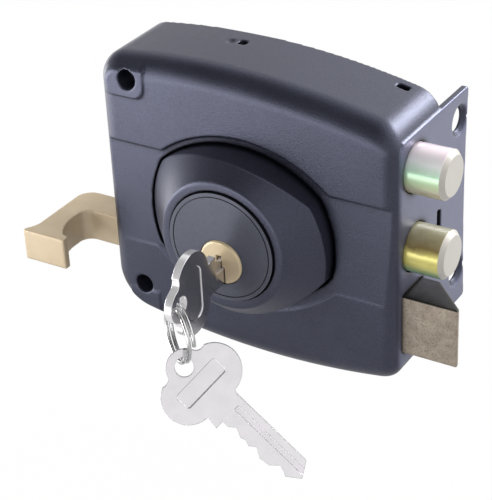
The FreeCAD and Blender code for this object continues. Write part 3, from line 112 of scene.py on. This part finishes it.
right, up, back = camera_axes()
camera = bpy.data.objects.new("camera", bpy.data.cameras.new("camera"))
scene.collection.objects.link(camera)
scene.camera = camera
camera.data.lens = FOCAL_PIXELS * SENSOR / LONG_SIDE
camera.data.sensor_width = SENSOR
camera.data.clip_start = 0.01
camera.data.clip_end = 20
camera.matrix_world = Matrix(((right.x, up.x, back.x, 0), (right.y, up.y, back.y, 0),
                              (right.z, up.z, back.z, 0), (0, 0, 0, 1)))
camera.location = right * AIM_RIGHT + up * AIM_UP + back * DISTANCE
print("lens %.1f mm at %.0f mm" % (camera.data.lens, DISTANCE / MM))

# %% [markdown]
# Every finish below is a tree of nodes. Short helpers keep those trees readable. The first adds a
# node and fills its inputs: an input that is given a socket is linked to it, and an input that is
# given a number keeps that number. The others are the few kinds of node that are used most.


# %% Helpers for node trees
def node(tree, kind, inputs=None, **settings):
    """Add a node. Inputs are given by name or number, as a value or as another node's socket."""
    made = tree.nodes.new("ShaderNode" + kind)
    for name, value in settings.items():
        setattr(made, name, value)
    for name, value in (inputs or {}).items():
        if isinstance(value, bpy.types.NodeSocket):
            tree.links.new(value, made.inputs[name])
        else:
            made.inputs[name].default_value = value
    return made


def math_node(tree, operation, first, second):
    return node(tree, "Math", {0: first, 1: second}, operation=operation).outputs[0]


def dot(tree, first, second):
    """How far two directions agree, or how far along a direction a place lies."""
    made = node(tree, "VectorMath", {0: first, 1: second}, operation="DOT_PRODUCT")
    return made.outputs["Value"]


def mix(tree, share, first, second):
    """A colour between first and second."""
    return node(tree, "Mix", {0: share, 6: first, 7: second}, data_type="RGBA").outputs[2]


def cover(tree, body, shade, mask, share):
    """Lay shade over body where the mask is one, but never more of it than share."""
    return mix(tree, math_node(tree, "MULTIPLY", mask, share), body, shade)


def spread(tree, value, low, high, out_low=0.0, out_high=1.0):
    """Stretch a value from one range to another, and hold it there."""
    return node(tree, "MapRange", {"Value": value, "From Min": low, "From Max": high,
                                   "To Min": out_low, "To Max": out_high}).outputs["Result"]


def along(tree, axis):
    """The place along one of the object's own axes, in metres."""
    place = node(tree, "TexCoord").outputs["Object"]
    return node(tree, "SeparateXYZ", {0: place}).outputs[axis]


print("node helpers ready")

# %% [markdown]
# Colours are written as the eye reads them on a screen, from 0 to 255, because that is how they
# are compared with a picture. The renderer counts light instead, so each is turned into light
# once, here. Paler and deeper shades of one colour are made by scaling its light.


# %% Helpers for colours
def colour(red, green, blue):
    """A colour as the eye reads it on screen, 0 to 255, turned into the light it stands for."""
    def light(level):
        level = level / 255
        return level / 12.92 if level <= 0.04045 else ((level + 0.055) / 1.055) ** 2.4
    return (light(red), light(green), light(blue), 1.0)


def scaled(shade, factor):
    """A shade with more or less light of the same hue."""
    return tuple(min(level * factor, 1.0) for level in shade[:3]) + (1.0,)


print("graphite is", ["%.3f" % level for level in colour(66, 68, 83)[:3]])

# %% [markdown]
# Some effects are on more than one material. Each is a node group, built once and placed in the
# materials with its own numbers. This helper makes an empty group with number inputs and outputs.


# %% Helper for node groups
def new_group(name, sockets_in, sockets_out):
    """A node group with number inputs, each with its usual value, and named outputs."""
    tree = bpy.data.node_groups.new(name, "ShaderNodeTree")
    for label, value in sockets_in:
        socket = tree.interface.new_socket(label, in_out="INPUT", socket_type="NodeSocketFloat")
        socket.default_value = value
    for label in sockets_out:
        tree.interface.new_socket(label, in_out="OUTPUT", socket_type="NodeSocketFloat")
    return tree, tree.nodes.new("NodeGroupInput"), tree.nodes.new("NodeGroupOutput")


def scale_of(tree, size_mm):
    """Noise counts its waves in a metre, and this turns the size of one wave into that count."""
    return math_node(tree, "DIVIDE", 1000.0, size_mm)


print("group helper ready")

# %% [markdown]
# Grain. Cast, coated and rolled metal all have a fine unevenness, less than a millimetre across,
# and broad clouds where the surface took the light or the hand differently. Noise at two scales
# gives both. It reads the object's own coordinates, in metres, so the grain has a real size and
# stays on a piece that moves.


# %% Group: grain
def grain_group():
    tree, inside, outside = new_group("grain", [("Size mm", 0.5), ("Cloud mm", 12.0)],
                                      ["Height", "Cloud"])
    place = node(tree, "TexCoord").outputs["Object"]
    fine_scale = scale_of(tree, inside.outputs["Size mm"])
    broad_scale = scale_of(tree, inside.outputs["Cloud mm"])
    fine = node(tree, "TexNoise", {"Vector": place, "Scale": fine_scale, "Detail": 3.0,
                                   "Roughness": 0.6})
    broad = node(tree, "TexNoise", {"Vector": place, "Scale": broad_scale, "Detail": 4.0,
                                    "Roughness": 0.55})
    tree.links.new(fine.outputs["Fac"], outside.inputs["Height"])
    tree.links.new(spread(tree, broad.outputs["Fac"], 0.32, 0.68), outside.inputs["Cloud"])
    return tree


GRAIN = grain_group()
print("group", GRAIN.name)

# %% [markdown]
# Wear. Hands and pockets rub the corners of metal first. Blender's pointiness is above one half
# where a surface bulges and below it where it folds in, so one group gives a mask of rubbed
# corners and one of corners that fold in, for dirt on bare metal and painted shade on the case
# paint, each broken up by noise so that no line is even.


# %% Group: wear
def wear_group():
    tree, inside, outside = new_group("wear", [("Start", 0.53), ("Full", 0.60), ("Patch mm", 2.0)],
                                      ["Rubbed", "Dirt_and_shade"])
    bulge = node(tree, "NewGeometry").outputs["Pointiness"]
    place = node(tree, "TexCoord").outputs["Object"]
    patch_scale = scale_of(tree, inside.outputs["Patch mm"])
    patches = node(tree, "TexNoise", {"Vector": place, "Scale": patch_scale, "Detail": 3.0})
    broken = spread(tree, patches.outputs["Fac"], 0.35, 0.65, 0.35, 1.0)
    rubbed = spread(tree, bulge, inside.outputs["Start"], inside.outputs["Full"])
    folded = spread(tree, bulge, 0.492, 0.46)
    tree.links.new(math_node(tree, "MULTIPLY", rubbed, broken), outside.inputs["Rubbed"])
    tree.links.new(math_node(tree, "MULTIPLY", folded, broken), outside.inputs["Dirt_and_shade"])
    return tree


WEAR = wear_group()
print("group", WEAR.name)

# %% [markdown]
# Tool lines. Turned, milled and drawn metal shows fine lines in one direction. Noise stretched
# along one axis gives them: the three inputs say how long the noise is along X, Y and Z.


# %% Group: tool lines
def lines_group():
    tree, inside, outside = new_group("tool_lines", [("X mm", 0.1), ("Y mm", 0.1), ("Z mm", 8.0)],
                                      ["Height"])
    place = node(tree, "TexCoord").outputs["Object"]
    scales = [scale_of(tree, inside.outputs[axis + " mm"]) for axis in "XYZ"]
    scale = node(tree, "CombineXYZ", {0: scales[0], 1: scales[1], 2: scales[2]}).outputs[0]
    stretched = node(tree, "VectorMath", {0: place, 1: scale}, operation="MULTIPLY").outputs[0]
    lines = node(tree, "TexNoise", {"Vector": stretched, "Scale": 1.0, "Detail": 2.0})
    tree.links.new(lines.outputs["Fac"], outside.inputs["Height"])
    return tree


LINES = lines_group()
print("group", LINES.name)

# %% [markdown]
# Each finish starts and ends alike: a material whose shader gets its plain numbers, and a bump
# that raises the surface by a few hundredths of a millimetre, as real grain does, without moving
# any point of the mesh.


# %% Start and end of every finish
def use(tree, group, **inputs):
    """Place a group in a material with its own values, given as Size_mm for "Size mm"."""
    made = tree.nodes.new("ShaderNodeGroup")
    made.node_tree = group
    for name, value in inputs.items():
        made.inputs[name.replace("_", " ")].default_value = value
    return made


def start(name, metallic, roughness):
    """A material with its shader, whose plain numbers sit on the shader's own sockets."""
    material = bpy.data.materials.new(name)
    material.use_nodes = True
    tree = material.node_tree
    shader = tree.nodes["Principled BSDF"]
    shader.inputs["Metallic"].default_value = metallic
    shader.inputs["Roughness"].default_value = roughness
    return material, tree, shader


def bump(tree, shader, height, depth_mm):
    """Shade the surface as if raised by height, up to depth_mm."""
    made = node(tree, "Bump", {"Height": height, "Distance": depth_mm * MM, "Strength": 1.0})
    tree.links.new(made.outputs["Normal"], shader.inputs["Normal"])


print("finish helpers ready")

# %% [markdown]
# Folds. Light hardly reaches the foot of a step or the gap round the shield, so the lines there are
# wider and darker than a sharp fold alone. That shade is painted into the colour: ambient occlusion
# over a few millimetres gives a soft dark edge of painted shade, and the wear group's mask its
# core.

# %% Painted shade in the folds
FOLD_REACH = 2.8 * MM


def painted_fold_shade(tree, crease_shade):
    """Painted shade: one where the surface is shut in by others nearby, zero where it is open."""
    open_share = node(tree, "AmbientOcclusion", {"Distance": FOLD_REACH}, samples=8).outputs["AO"]
    soft = spread(tree, open_share, 0.93, 0.55, 0.0, 0.9)
    return math_node(tree, "MAXIMUM", soft, math_node(tree, "MULTIPLY", crease_shade, 0.95))


print("folds reach %.1f mm" % (FOLD_REACH / MM))

# %% [markdown]
# Case paint. The case, its rose, the round face and the face plate wear one graphite powder coat:
# blue-grey, with a fine orange-peel skin, small flecks and a metallic glint. Much metal in the
# shader makes the rounded edges mirror the room, which draws the dark band along the top edge.
# The outer face of the face plate is painted far paler, a painted highlight for the light on that
# side.

# %% Finish: case paint
PLATE_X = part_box("face_plate")[1].x


def case_paint(name, base, metallic, peel_mm):
    """Powder coat of one base colour. peel_mm is the height of its orange-peel skin."""
    material, tree, shader = start(name, metallic, 0.34)
    grain = use(tree, GRAIN, Size_mm=0.38, Cloud_mm=18.0)
    wear = use(tree, WEAR, Start=0.535, Full=0.60, Patch_mm=1.6)
    body = mix(tree, grain.outputs["Cloud"], scaled(base, 0.93), scaled(base, 1.08))
    fleck = spread(tree, grain.outputs["Height"], 0.36, 0.64, 0.87, 1.13)
    body = node(tree, "VectorMath", {0: body, 1: fleck}, operation="MULTIPLY").outputs[0]
    # Painted highlight: the face plate's outer face is painted 2.6 times paler.
    painted_highlight_face = spread(tree, along(tree, "X"), PLATE_X - 0.5 * MM, PLATE_X - 0.1 * MM)
    body = mix(tree, painted_highlight_face, body, scaled(base, 2.6))
    body = cover(tree, body, scaled(base, 1.2), wear.outputs["Rubbed"], 0.55)
    # Painted shade: the folds are painted nearly black.
    body = mix(tree, painted_fold_shade(tree, wear.outputs["Dirt_and_shade"]), body, scaled(base, 0.15))
    tree.links.new(body, shader.inputs["Base Color"])
    rough = spread(tree, grain.outputs["Cloud"], 0.0, 1.0, 0.31, 0.37)
    tree.links.new(rough, shader.inputs["Roughness"])
    bump(tree, shader, grain.outputs["Height"], peel_mm)
    return material


CASE_PAINT = case_paint("case_paint", colour(66, 68, 83), 0.68, 0.07)
DISC_PAINT = case_paint("disc_paint", colour(76, 78, 89), 0.6, 0.02)
print("finishes", CASE_PAINT.name, DISC_PAINT.name)

# %% [markdown]
# Bolt zinc. The bolts are zinc plated and dipped in a yellow passivate, a film so thin that it
# shows bands of straw, green and pink as it gets thicker. A colour ramp driven by height round
# the bolt, pushed about by noise, gives the bands. The ends are turned, greyer and duller.

# %% Finish: bolt zinc
BOLT_RADIUS = 7 * MM
BOLT_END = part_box("upper_bolt")[1].x
END_FACE_FROM, END_FACE_FULL = BOLT_END - 1.35 * MM, BOLT_END - 1.15 * MM
END_COLOUR = colour(192, 188, 181)


def ramp(tree, value, stops):
    """A colour ramp from a list of places and the colours there."""
    made = node(tree, "ValToRGB", {"Fac": value})
    elements = made.color_ramp.elements
    while len(elements) < len(stops):
        elements.new(0.5)
    for element, (position, shade) in zip(elements, stops):
        element.position = position
        element.color = shade
    return made.outputs["Color"]


def bolt_zinc(name, bolt, stops):
    """Bands by height on one bolt, from its lowest line at 0 to its highest at 1."""
    low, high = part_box(bolt)
    axis_z = (low.z + high.z) / 2
    material, tree, shader = start(name, 0.22, 0.18)
    grain = use(tree, GRAIN, Size_mm=0.5, Cloud_mm=6.0)
    lines = use(tree, LINES, X_mm=1.2, Y_mm=9.0, Z_mm=9.0)
    height = spread(tree, along(tree, "Z"), axis_z - BOLT_RADIUS, axis_z + BOLT_RADIUS)
    push = spread(tree, grain.outputs["Cloud"], 0, 1, -0.05, 0.05)
    bands = ramp(tree, math_node(tree, "ADD", height, push), stops)
    end = spread(tree, along(tree, "X"), END_FACE_FROM, END_FACE_FULL)
    tree.links.new(mix(tree, end, bands, END_COLOUR), shader.inputs["Base Color"])
    rough = math_node(tree, "ADD", spread(tree, lines.outputs["Height"], 0.3, 0.7, 0.16, 0.24),
                      math_node(tree, "MULTIPLY", end, 0.2))
    tree.links.new(rough, shader.inputs["Roughness"])
    bump(tree, shader, lines.outputs["Height"], 0.006)
    return material


UPPER_ZINC = bolt_zinc("upper_bolt_zinc", "upper_bolt", [
    (0.0, colour(96, 90, 62)), (0.10, colour(190, 182, 150)), (0.26, colour(206, 200, 176)),
    (0.44, colour(196, 216, 172)), (0.62, colour(192, 232, 200)), (0.82, colour(246, 250, 248)),
    (1.0, colour(246, 230, 238))])
LOWER_ZINC = bolt_zinc("lower_bolt_zinc", "lower_bolt", [
    (0.0, colour(84, 92, 74)), (0.12, colour(146, 186, 166)), (0.26, colour(168, 188, 140)),
    (0.42, colour(206, 198, 112)), (0.66, colour(224, 214, 126)), (0.77, colour(142, 124, 80)),
    (1.0, colour(188, 184, 154))])
print("bolts end at x %.1f mm" % (BOLT_END / MM))

# %% [markdown]
# Edges of bare metal. Cast and turned pieces are rubbed bright on their corners and hold dirt in
# their folds, in broken patches. On a key the edge lines are even instead and are painted in one
# colour per key, a painted highlight on the key in the lock and painted shade on the hanging one;
# on the key in the lock the rim round its flat faces takes that painted highlight too and is less
# of a mirror. The faces look along the key's own X axis, so the normal's X share tells the rim
# from the faces.


# %% Edges of bare metal
def worn_edges(tree, body, bright, dark):
    """Rubbed corners and dirty folds, broken up by noise."""
    wear = use(tree, WEAR, Start=0.54, Full=0.62, Patch_mm=1.2)
    body = cover(tree, body, bright, wear.outputs["Rubbed"], 0.7)
    return cover(tree, body, dark, wear.outputs["Dirt_and_shade"], 0.6)


def painted_edge_lines(tree, body, edge, dark):
    """Even lines: the edge colour, a painted highlight or painted shade, where the metal bulges,
    and dark where it folds.
    """
    bulge = node(tree, "NewGeometry").outputs["Pointiness"]
    body = mix(tree, spread(tree, bulge, 0.51, 0.56, 0.0, 0.9), body, edge)
    return mix(tree, spread(tree, bulge, 0.48, 0.43, 0.0, 0.7), body, dark)


def painted_rim_light(tree, shader, body, edge, metallic):
    """The rim between a key's two flat faces, in the edge's colour as a painted highlight, and less
    of a mirror.
    """
    normal = node(tree, "TexCoord").outputs["Normal"]
    side = node(tree, "SeparateXYZ", {0: normal}).outputs["X"]
    rim = spread(tree, node(tree, "Math", {0: side}, operation="ABSOLUTE").outputs[0], 0.7, 0.3)
    tree.links.new(spread(tree, rim, 0.0, 1.0, metallic, 0.6), shader.inputs["Metallic"])
    return mix(tree, rim, body, edge)


print("edge helpers ready")

# %% [markdown]
# Latch zinc, hook brass, plug brass, the keys' nickel and the plain steels are all bare metals, so
# one function makes them: clouds of two near colours, edges, and for some of them dark pits from
# the casting, a painted reflection or drawn lines.


# %% Finish: bare metals
def bare_metal(name, light, deep, metallic, roughness, grain_mm=0.4, cloud_mm=6.0, depth_mm=0.01,
               lines=None, speck=0.0, painted_reflection_over=None, edge=None, rim=False):
    """light and deep are the clouds' two colours, lines the length of tool lines along each axis,
    speck the share of dark pits, painted_reflection_over a height above which the metal is painted
    nearly black as a painted reflection, edge one even colour painted on the edge lines as painted
    highlight or painted shade, and rim says whether the rim round the flat faces takes it too."""
    material, tree, shader = start(name, metallic, roughness)
    grain = use(tree, GRAIN, Size_mm=grain_mm, Cloud_mm=cloud_mm)
    height, cloud = grain.outputs["Height"], grain.outputs["Cloud"]
    body = mix(tree, cloud, deep, light)
    dark = scaled(deep, 0.45)
    if edge:
        body = painted_edge_lines(tree, body, edge, dark)
    else:
        body = worn_edges(tree, body, scaled(light, 1.25), dark)
    if rim:
        body = painted_rim_light(tree, shader, body, edge, metallic)
    if speck:
        pits = spread(tree, height, 0.5 - speck, 0.44 - speck)
        body = cover(tree, body, dark, pits, 0.55)
    if painted_reflection_over:
        # Painted reflection: above this height the metal is painted nearly black, as the dark face
        # plate mirrors in it.
        painted_reflection = spread(tree, along(tree, "Z"), painted_reflection_over - 0.2 * MM, painted_reflection_over)
        body = cover(tree, body, colour(26, 25, 24), painted_reflection, 0.96)
    tree.links.new(body, shader.inputs["Base Color"])
    rough = spread(tree, cloud, 0, 1, roughness + 0.05, roughness - 0.05)
    tree.links.new(rough, shader.inputs["Roughness"])
    if lines:
        drawn = use(tree, LINES, X_mm=lines[0], Y_mm=lines[1], Z_mm=lines[2]).outputs["Height"]
        height = math_node(tree, "ADD", math_node(tree, "MULTIPLY", height, 0.4),
                           math_node(tree, "MULTIPLY", drawn, 0.6))
    bump(tree, shader, height, depth_mm)
    return material


print("bare metal ready")

# %% [markdown]
# Zinc and brass. The latch is raw cast zinc, grey-brown, pitted and coarse, and its top is painted
# nearly black, a painted reflection of the dark face plate beside it. The hook is cast brass, worn
# dull and pale. The plug is yellow brass with fine tool lines across it, so its noise is long along
# X and Y and short along Z.

# %% Zinc and brass
LATCH_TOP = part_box("latch_bolt")[1].z
LATCH_ZINC = bare_metal("latch_zinc", colour(176, 164, 148), colour(154, 142, 128), 0.5, 0.46,
                        grain_mm=0.5, cloud_mm=3.0, depth_mm=0.05, speck=0.05,
                        painted_reflection_over=LATCH_TOP - 0.3 * MM)
HOOK_BRASS = bare_metal("hook_brass", colour(198, 180, 152), colour(188, 169, 141), 0.25, 0.46,
                        grain_mm=0.5, cloud_mm=14.0, depth_mm=0.012)
PLUG_BRASS = bare_metal("plug_brass", colour(204, 187, 155), colour(198, 179, 146), 0.45, 0.36,
                        grain_mm=0.3, cloud_mm=5.0, depth_mm=0.006, lines=(4.0, 4.0, 0.08))
print("latch's top at z %.1f mm" % (LATCH_TOP / MM))

# %% [markdown]
# Keys and steels. Both keys are nickel plated, and each has its own copy of the nickel, tuned to
# the
# light round it: the one in the lock mirrors the dark case, so it is painted darker with near-white
# edges, a painted highlight, and the hanging one mirrors the white room, so it is painted paler
# with grey edges, painted shade.
# The ring is bright wire. The steels inside differ in how they were made: rolled plate has long
# lines, gears have lines round their teeth from the cutter, and springs are drawn smooth.

# %% Nickel and steel
# Painted light: darker nickel with a near-white painted highlight on the edges and rim.
KEY_NICKEL = bare_metal("key_nickel", colour(206, 204, 208), colour(190, 188, 192), 0.95, 0.22,
                        grain_mm=0.8, cloud_mm=5.0, depth_mm=0.003,
                        edge=colour(252, 250, 252), rim=True)
# Painted light: paler nickel with grey painted shade on the edges.
SPARE_NICKEL = bare_metal("spare_key_nickel", colour(244, 240, 245), colour(240, 237, 241), 0.8,
                          0.2, grain_mm=0.8, cloud_mm=5.0, depth_mm=0.003,
                          edge=colour(132, 132, 135))
RING_STEEL = bare_metal("ring_steel", colour(222, 222, 222), colour(190, 190, 190), 0.95, 0.2,
                        grain_mm=0.2, cloud_mm=3.0, depth_mm=0.004)
ZINC_STEEL = bare_metal("zinc_steel", colour(196, 198, 202), colour(170, 173, 178), 0.9, 0.36,
                        grain_mm=0.6, cloud_mm=8.0, depth_mm=0.012, lines=(6.0, 6.0, 0.12))
GEAR_STEEL = bare_metal("gear_steel", colour(168, 168, 168), colour(140, 140, 142), 0.95, 0.34,
                        grain_mm=0.4, cloud_mm=5.0, depth_mm=0.01, lines=(5.0, 0.1, 5.0))
SPRING_STEEL = bare_metal("spring_steel", colour(186, 186, 188), colour(130, 130, 134), 0.95, 0.28,
                          grain_mm=0.2, cloud_mm=3.0, depth_mm=0.006)
print("finishes", len(bpy.data.materials))

# %% [markdown]
# Shapes. A CAD solid has edges as sharp as a razor, and a cast or tumbled piece has none. A copy
# of the solid's mesh is welded, rebuilt as an even grid of small faces by the Remesh modifier,
# and relaxed by the Smooth modifier, which rounds each edge by about the size of a face. The
# copy stands for the solid, rides on the same body and takes the finish given to it.

# %% Helper: a relaxed grid
WELD = 0.002 * MM


def welded(names):
    """One mesh of all the named solids, with the points that coincide made one."""
    mesh = bpy.data.meshes.new("rough_" + names[0])
    work = bmesh.new()
    for name in names:
        work.from_mesh(frame["nodes"][name].data)
    bmesh.ops.remove_doubles(work, verts=work.verts, dist=WELD)
    work.to_mesh(mesh)
    work.free()
    return mesh


def relaxed_grid(mesh, face_mm, rounds):
    """The mesh rebuilt with faces about face_mm wide, relaxed in so many rounds."""
    rough = bpy.data.objects.new(mesh.name, mesh)
    scene.collection.objects.link(rough)
    grid = rough.modifiers.new("grid", "REMESH")
    grid.mode = "VOXEL"
    grid.voxel_size = face_mm * MM
    relax = rough.modifiers.new("relax", "SMOOTH")
    relax.factor = 0.5
    relax.iterations = rounds
    bpy.context.view_layer.update()
    shaped = rough.evaluated_get(bpy.context.evaluated_depsgraph_get())
    made = bpy.data.meshes.new_from_object(shaped)
    bpy.data.objects.remove(rough)
    return made


print("solids are welded at %.3f mm" % (WELD / MM))

# %% [markdown]
# The pieces that the eye rests on are eased, each with faces that suit its size: coarse on the
# case, fine on the keys. The face plate is screwed flat to the case and painted with it, so the
# two share one grid and their joint closes as paint closes it.


def eased(names, face_mm, rounds, material):
    """A softer copy that stands for one or more CAD solids of one body."""
    node_name = names[0]
    made = relaxed_grid(welded(names), face_mm, rounds)
    made.materials.clear()
    made.materials.append(material)
    made.polygons.foreach_set("use_smooth", [True] * len(made.polygons))
    piece = bpy.data.objects.new(node_name + "_eased", made)
    scene.collection.objects.link(piece)
    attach(piece, frame["nodes"][node_name]["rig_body"])
    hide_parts(*names)
    print("%s: %d faces" % (piece.name, len(made.polygons)))


eased(["case_cover", "face_plate"], 0.3, 7, CASE_PAINT)
eased(["cylinder_rose"], 0.3, 3, CASE_PAINT)
eased(["pull_hook"], 0.3, 10, HOOK_BRASS)
eased(["latch_bolt"], 0.3, 7, LATCH_ZINC)
eased(["cylinder_plug"], 0.15, 1, PLUG_BRASS)
eased(["door_key"], 0.11, 3, KEY_NICKEL)
eased(["spare_key"], 0.11, 3, SPARE_NICKEL)

# %% [markdown]
# The other solids are already the right shape, and most are inside the case. Each keeps its mesh
# and gets its finish in its own material slots.

# %% Finishes of the solids that stay
KEPT = {
    DISC_PAINT: ["face_disc"],
    UPPER_ZINC: ["upper_bolt"],
    LOWER_ZINC: ["lower_bolt"],
    RING_STEEL: ["key_ring"],
    ZINC_STEEL: ["back_plate", "back_plate_screws", "bolt_carrier", "bolt_screws", "latch_bar",
                 "latch_rivets", "hook_rivets", "wheel_axle", "spring_stop", "rose_screws"],
    GEAR_STEEL: ["plug_gear", "wheel_gear"],
    SPRING_STEEL: ["latch_spring", "pin_springs", "cylinder_clip"],
    PLUG_BRASS: ["cylinder_body", "plug_washer", "key_pins", "driver_pins", "chamber_caps"]}
for material, names in KEPT.items():
    for name in names:
        mesh = frame["nodes"][name].data
        if not mesh.materials:
            mesh.materials.append(material)
        for index in range(len(mesh.materials)):
            mesh.materials[index] = material
print("kept", sum(len(names) for names in KEPT.values()), "solids")

# %% [markdown]
# The floor is a plain pale sheet under the lock. The camera sees it as white, so it meets the
# background without an edge, and soft light sees it as matte. What the paint and the metal mirror
# in it is a painted glow, a pattern of light laid on the floor itself: bright to the front left,
# where a large window or screen would stand, and a painted shadow near the lock. That pattern
# shades the flat front of the case from left to right, as in a studio, and it is told from the
# rest by the kind of ray that looks.

# %% Floor
FLOOR_Z = cad_low.z - 24 * MM
FLOOR_REACH = 3.0
MATTE_GREY = (0.6, 0.6, 0.6, 1)
WHITE = (1, 1, 1, 1)
TO_FRONT_LEFT = (-0.8, -0.6, 0.0)


def painted_floor_glow(tree):
    """How bright the floor's painted glow is in a mirror, by the place on it, in metres from the
    lock.
    """
    place = node(tree, "TexCoord").outputs["Object"]
    front = spread(tree, dot(tree, place, TO_FRONT_LEFT), 0.11, 0.30, 0.68, 3.7)
    behind = spread(tree, along(tree, "Y"), -0.02, 0.10, 0.0, 1.2)
    return math_node(tree, "MAXIMUM", front, behind)


def floor_paint():
    """Matte to soft light, but a glow of its own to the camera and in mirrors."""
    material, tree, matte = start("floor_paint", 0.0, 0.9)
    matte.inputs["Base Color"].default_value = MATTE_GREY
    ray = node(tree, "LightPath")
    light = mix(tree, ray.outputs["Is Glossy Ray"], WHITE, painted_floor_glow(tree))
    glow = node(tree, "Emission", {"Color": light, "Strength": 1.0})
    to_camera = math_node(tree, "MULTIPLY", ray.outputs["Is Camera Ray"], 0.99)
    shown = math_node(tree, "ADD", to_camera, ray.outputs["Is Glossy Ray"])
    both = node(tree, "MixShader", {0: shown, 1: matte.outputs[0], 2: glow.outputs[0]})
    tree.links.new(both.outputs[0], tree.nodes["Material Output"].inputs["Surface"])
    return material


floor_mesh = bpy.data.meshes.new("floor")
floor_mesh.from_pydata([(-FLOOR_REACH, -FLOOR_REACH, 0), (FLOOR_REACH, -FLOOR_REACH, 0),
                        (FLOOR_REACH, FLOOR_REACH, 0), (-FLOOR_REACH, FLOOR_REACH, 0)],
                       [], [(0, 1, 2, 3)])
floor = bpy.data.objects.new("floor", floor_mesh)
floor.location.z = FLOOR_Z
scene.collection.objects.link(floor)
floor_mesh.materials.append(floor_paint())
print("floor at z %.1f mm" % (FLOOR_Z / MM))

# %% [markdown]
# The sky lights the lock evenly and is white to the camera. Mirrored in the paint and the metal it
# has two marks, each a cone round one direction: a dark one in front of the lock and above it,
# like an unlit ceiling, which draws the dark band along the case's top edge, and a bright one
# behind it to the right, like a window, which lights the case's right corner.

# %% World
DARK_SIDE = (-0.466, -0.503, 0.728)
BRIGHT_SIDE = (0.50, 0.75, 0.43)
SOFT_LIGHT = 0.86


def sky(tree, strength):
    """Even white light of one strength, or of a strength that changes with direction."""
    return node(tree, "Background", {"Color": WHITE, "Strength": strength}).outputs[0]


world = bpy.data.worlds.new("room")
scene.world = world
world.use_nodes = True
tree = world.node_tree
tree.nodes.clear()
way = node(tree, "TexCoord").outputs["Generated"]
dark_mark = spread(tree, dot(tree, way, DARK_SIDE), 0.50, 0.86, 1.0, 0.06)
bright_mark = spread(tree, dot(tree, way, BRIGHT_SIDE), 0.48, 0.95, 0.9, 2.1)
mirrored = sky(tree, math_node(tree, "MULTIPLY", dark_mark, bright_mark))
ray = node(tree, "LightPath").outputs
glossy = math_node(tree, "MAXIMUM", ray["Is Glossy Ray"], ray["Is Transmission Ray"])
unseen = node(tree, "MixShader", {0: glossy, 1: sky(tree, SOFT_LIGHT), 2: mirrored})
whole = node(tree, "MixShader", {0: ray["Is Camera Ray"], 1: unseen.outputs[0], 2: sky(tree, 1.0)})
tree.links.new(whole.outputs[0], node(tree, "OutputWorld").inputs["Surface"])
print("sky ready")

# %% [markdown]
# Two small lamps shape what the sky leaves flat. A weak one stands low on the left and lights the
# case's left side, the hook and the keys. A stronger one stands behind the lock, above it and to
# the right, and rims the case's top and the bolts. Both are soft, so no shadow has a hard edge.

# %% Lamps
LOCK_MIDDLE = (0.0, -0.02, 0.0)


def lamp(name, place, width, height, watts):
    """A soft rectangular lamp that faces the lock's middle, places and sizes in metres."""
    light = bpy.data.lights.new(name, "AREA")
    light.shape = "RECTANGLE"
    light.size, light.size_y = width, height
    light.energy = watts
    made = bpy.data.objects.new(name, light)
    scene.collection.objects.link(made)
    made.location = place
    made.rotation_mode = "QUATERNION"
    made.rotation_quaternion = (Vector(LOCK_MIDDLE) - Vector(place)).to_track_quat("-Z", "Y")


lamp("left_lamp", (-0.34, -0.22, 0.04), 0.2, 0.2, 0.9)
lamp("top_lamp", (0.26, 0.42, 0.30), 0.25, 0.2, 2.6)
print("lamps", len(bpy.data.lights))
